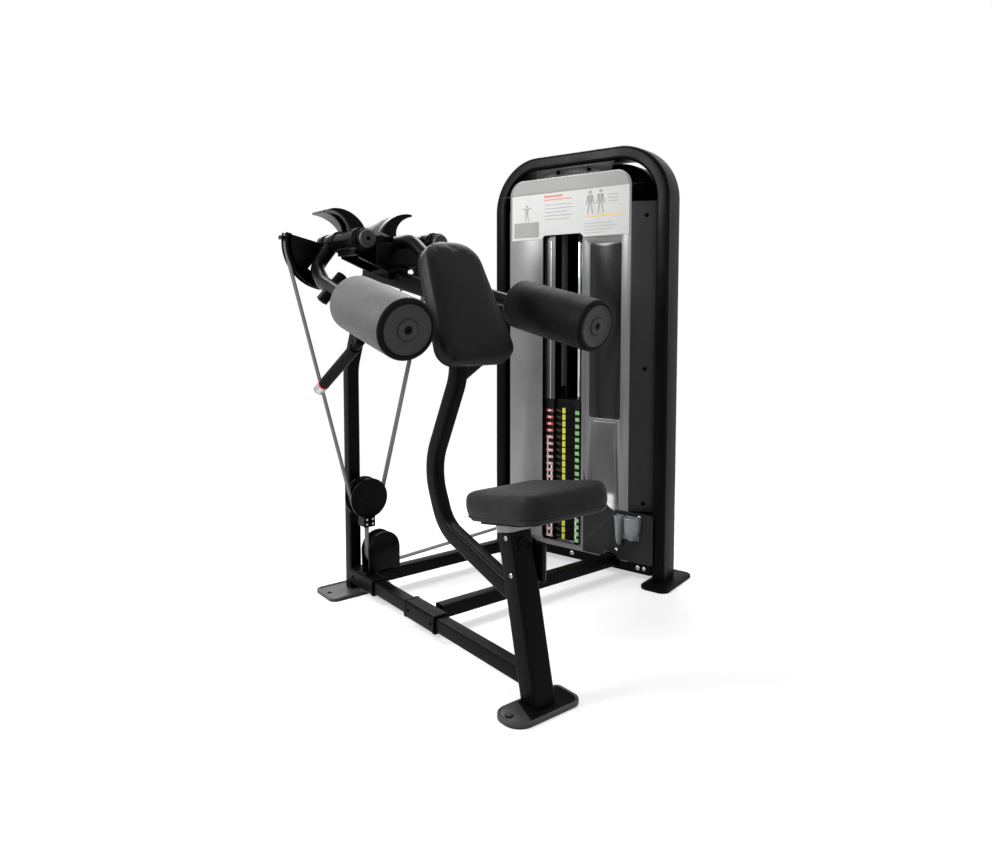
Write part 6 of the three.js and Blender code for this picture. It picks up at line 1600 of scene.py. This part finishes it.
# Rings of one outline, each drawn in by an inset at a height, closed top and bottom by a patch of rings
def padMesh(name, outline, levels, crown):
    count, topRings = len(outline), 14
    rings = [[(a, b, height) for a, b in drawnIn(outline, inset)] for inset, height in levels]
    top, bottom = rings[-1], rings[0]
    for i in range(1, topRings):
        share = 1 - i / topRings
        height = levels[-1][1] + crown * (1 - share ** 2)
        rings.append([(a * share, b * share, height) for a, b, _ in top])
    under = [[(a * share, b * share, levels[0][1]) for a, b, _ in bottom] for share in (0.35, 0.7)]
    rings = under + rings
    vertices = [v for ring in rings for v in ring]
    low, high = len(vertices), len(vertices) + 1
    vertices += [(0, 0, levels[0][1]), (0, 0, levels[-1][1] + crown)]
    faces = []
    for i in range(len(rings) - 1):
        for k in range(count):
            j = (k + 1) % count
            faces.append((i * count + k, i * count + j, (i + 1) * count + j, (i + 1) * count + k))
    last = (len(rings) - 1) * count
    for k in range(count):
        j = (k + 1) % count
        faces += [(low, j, k), (high, last + k, last + j)]
    return meshFrom(name, vertices, faces)


# A closed cord of piping round an outline at a height
def pipingMesh(name, outline, height, radius, matrix):
    ring = [Vector((a, b, height)) for a, b in outline]
    vertices, faces, count, around = [], [], len(ring), 8
    for i, point in enumerate(ring):
        along = (ring[(i + 1) % count] - ring[i - 1]).normalized()
        across = along.cross(alongZ)
        for k in range(around):
            angle = 2 * math.pi * k / around
            vertices.append(point + (across * math.cos(angle) + alongZ * math.sin(angle)) * radius)
    for i in range(count):
        for k in range(around):
            j, m = (i + 1) % count, (k + 1) % around
            faces.append((i * around + k, i * around + m, j * around + m, j * around + k))
    mesh = meshFrom(name, vertices, faces)
    mesh.transform(matrix)
    return mesh


def smoothed(form):
    for _ in range(4):
        bmesh.ops.smooth_vert(form, verts=form.verts, factor=0.5, use_axis_x=True, use_axis_y=True, use_axis_z=True)


# Voxel remesh, cloth pressure for twenty frames, and no point moved past the cap
def swell(mesh, name, fixed):
    piece = bpy.data.objects.new(name, mesh)
    collection.objects.link(piece)
    remesh = piece.modifiers.new("voxels", "REMESH")
    remesh.mode = "VOXEL"
    remesh.voxel_size = swelling["voxel"]
    bpy.context.view_layer.update()
    fine = bpy.data.meshes.new_from_object(piece.evaluated_get(bpy.context.evaluated_depsgraph_get()))
    piece.modifiers.clear()
    piece.data = fine
    rest = [v.co.copy() for v in fine.vertices]
    group = piece.vertex_groups.new(name="held")
    group.add([i for i, co in enumerate(rest) if fixed(co)], 1.0, "REPLACE")
    cloth = piece.modifiers.new("cloth", "CLOTH")
    cloth.settings.use_pressure = True
    cloth.settings.uniform_pressure_force = swelling["pressure"]
    cloth.settings.mass = 0.4
    cloth.settings.tension_stiffness = 18
    cloth.settings.bending_stiffness = 1.2
    cloth.settings.effector_weights.gravity = 0
    cloth.settings.vertex_group_mass = "held"
    for step in range(1, swelling["frames"] + 1):
        world.frame_set(step)
    moved = piece.evaluated_get(bpy.context.evaluated_depsgraph_get()).to_mesh()
    targets = [v.co.copy() for v in moved.vertices]
    piece.modifiers.clear()
    world.frame_set(1)
    for vertex, start, target in zip(fine.vertices, rest, targets):
        step = target - start
        if step.length > swelling["cap"]:
            step *= swelling["cap"] / step.length
        vertex.co = start + step
    bpy.data.objects.remove(piece)
    return edited(fine, smoothed)


def padPiece(name, mesh, matrix, finish, body, node):
    mesh.transform(matrix)
    mesh.materials.clear()
    piece = addPiece(name, mesh, finish, body, [node], sharp=80)
    finer = piece.modifiers.new("finer", "SUBSURF")
    finer.levels = 1
    finer.render_levels = 1
    return piece


# The rounded top edge as insets and heights
def roundedLevels(radius, height, steps=6):
    turns = [math.pi / 2 * i / steps for i in range(steps + 1)]
    return [(radius * (1 - math.cos(a)), height - radius + radius * math.sin(a)) for a in turns]


def makeSeatPad():
    outline = shieldOutline(seatPad["halfRear"], seatPad["halfFront"], seatPad["halfDepth"], seatPad["cornerRear"],
                            seatPad["cornerFront"])
    seam, low = seatPad["seam"], seatPad["lowEdge"]
    board = low * 0.62
    levels = [(board, 0.0), (board, 0.004), (board - 0.003, 0.0055)]
    levels += [(low * 0.30, seam - 0.003), (low * 0.26, seam), (low * 0.20, seam + 0.003), (0.0012, seam + 0.016),
               (0, seam + 0.024)]
    levels += roundedLevels(seatPad["topEdge"], seatPad["rise"])
    mesh = swell(padMesh("seat_cushion", outline, levels, seatPad["crown"]), "seat_cushion", lambda co: co.z < seam)
    place = spot(0, seatPad["centreY"], seatPad["bottom"])
    matrix = Matrix.Translation(place) @ Matrix.Rotation(-seatPad["tilt"], 4, "X")
    padPiece("seat_cushion", mesh, matrix, vinyl, "seat", "seat_pad")
    line = pipingMesh("seat_seam", drawnIn(outline, low * 0.26 - 0.0008), seam, 0.0012, matrix)
    addPiece("seat_seam", line, vinylPiping, "seat", sharp=80)


# The chest pad leans with its spine and has its seam close to the board
def makeChestPad():
    outline = shieldOutline(chestPad["halfBottom"] - 0.001, chestPad["halfTop"] - 0.001, chestPad["length"] / 2 - 0.001,
                            chestPad["cornerBottom"], chestPad["cornerTop"])
    seam = chestPad["seam"]
    levels = [(0.006, 0), (0.002, 0.0012), (0.0006, 0.004), (0.0016, seam), (0.0004, seam + 0.004), (0, seam + 0.012)]
    levels += roundedLevels(chestPad["frontEdge"], chestPad["thickness"] - chestPad["crownRoom"])
    mesh = swell(padMesh("chest_cushion", outline, levels, chestPad["crown"]), "chest_cushion", lambda co: co.z < seam)
    up = Vector((0, math.sin(chestPad["lean"]), math.cos(chestPad["lean"])))
    facing = Vector((0, -math.cos(chestPad["lean"]), math.sin(chestPad["lean"])))
    bottom = spot(0, chestPad["bottomY"], chestPad["bottomZ"])
    middle = bottom + up * chestPad["length"] / 2 - facing * chestPad["thickness"] / 2
    matrix = Matrix.Translation(middle) @ Matrix((alongX, up, facing)).transposed().to_4x4()
    # painted shade: the chest cushion takes the darker copy of the vinyl
    padPiece("chest_cushion", mesh, matrix, chestVinylPaintedShade, "root", "chest_pad")
    line = pipingMesh("chest_seam", drawnIn(outline, 0.0008), seam, 0.0012, matrix)
    addPiece("chest_seam", line, vinylPiping, "root", sharp=80)


makeSeatPad()
makeChestPad()
print("pads made")
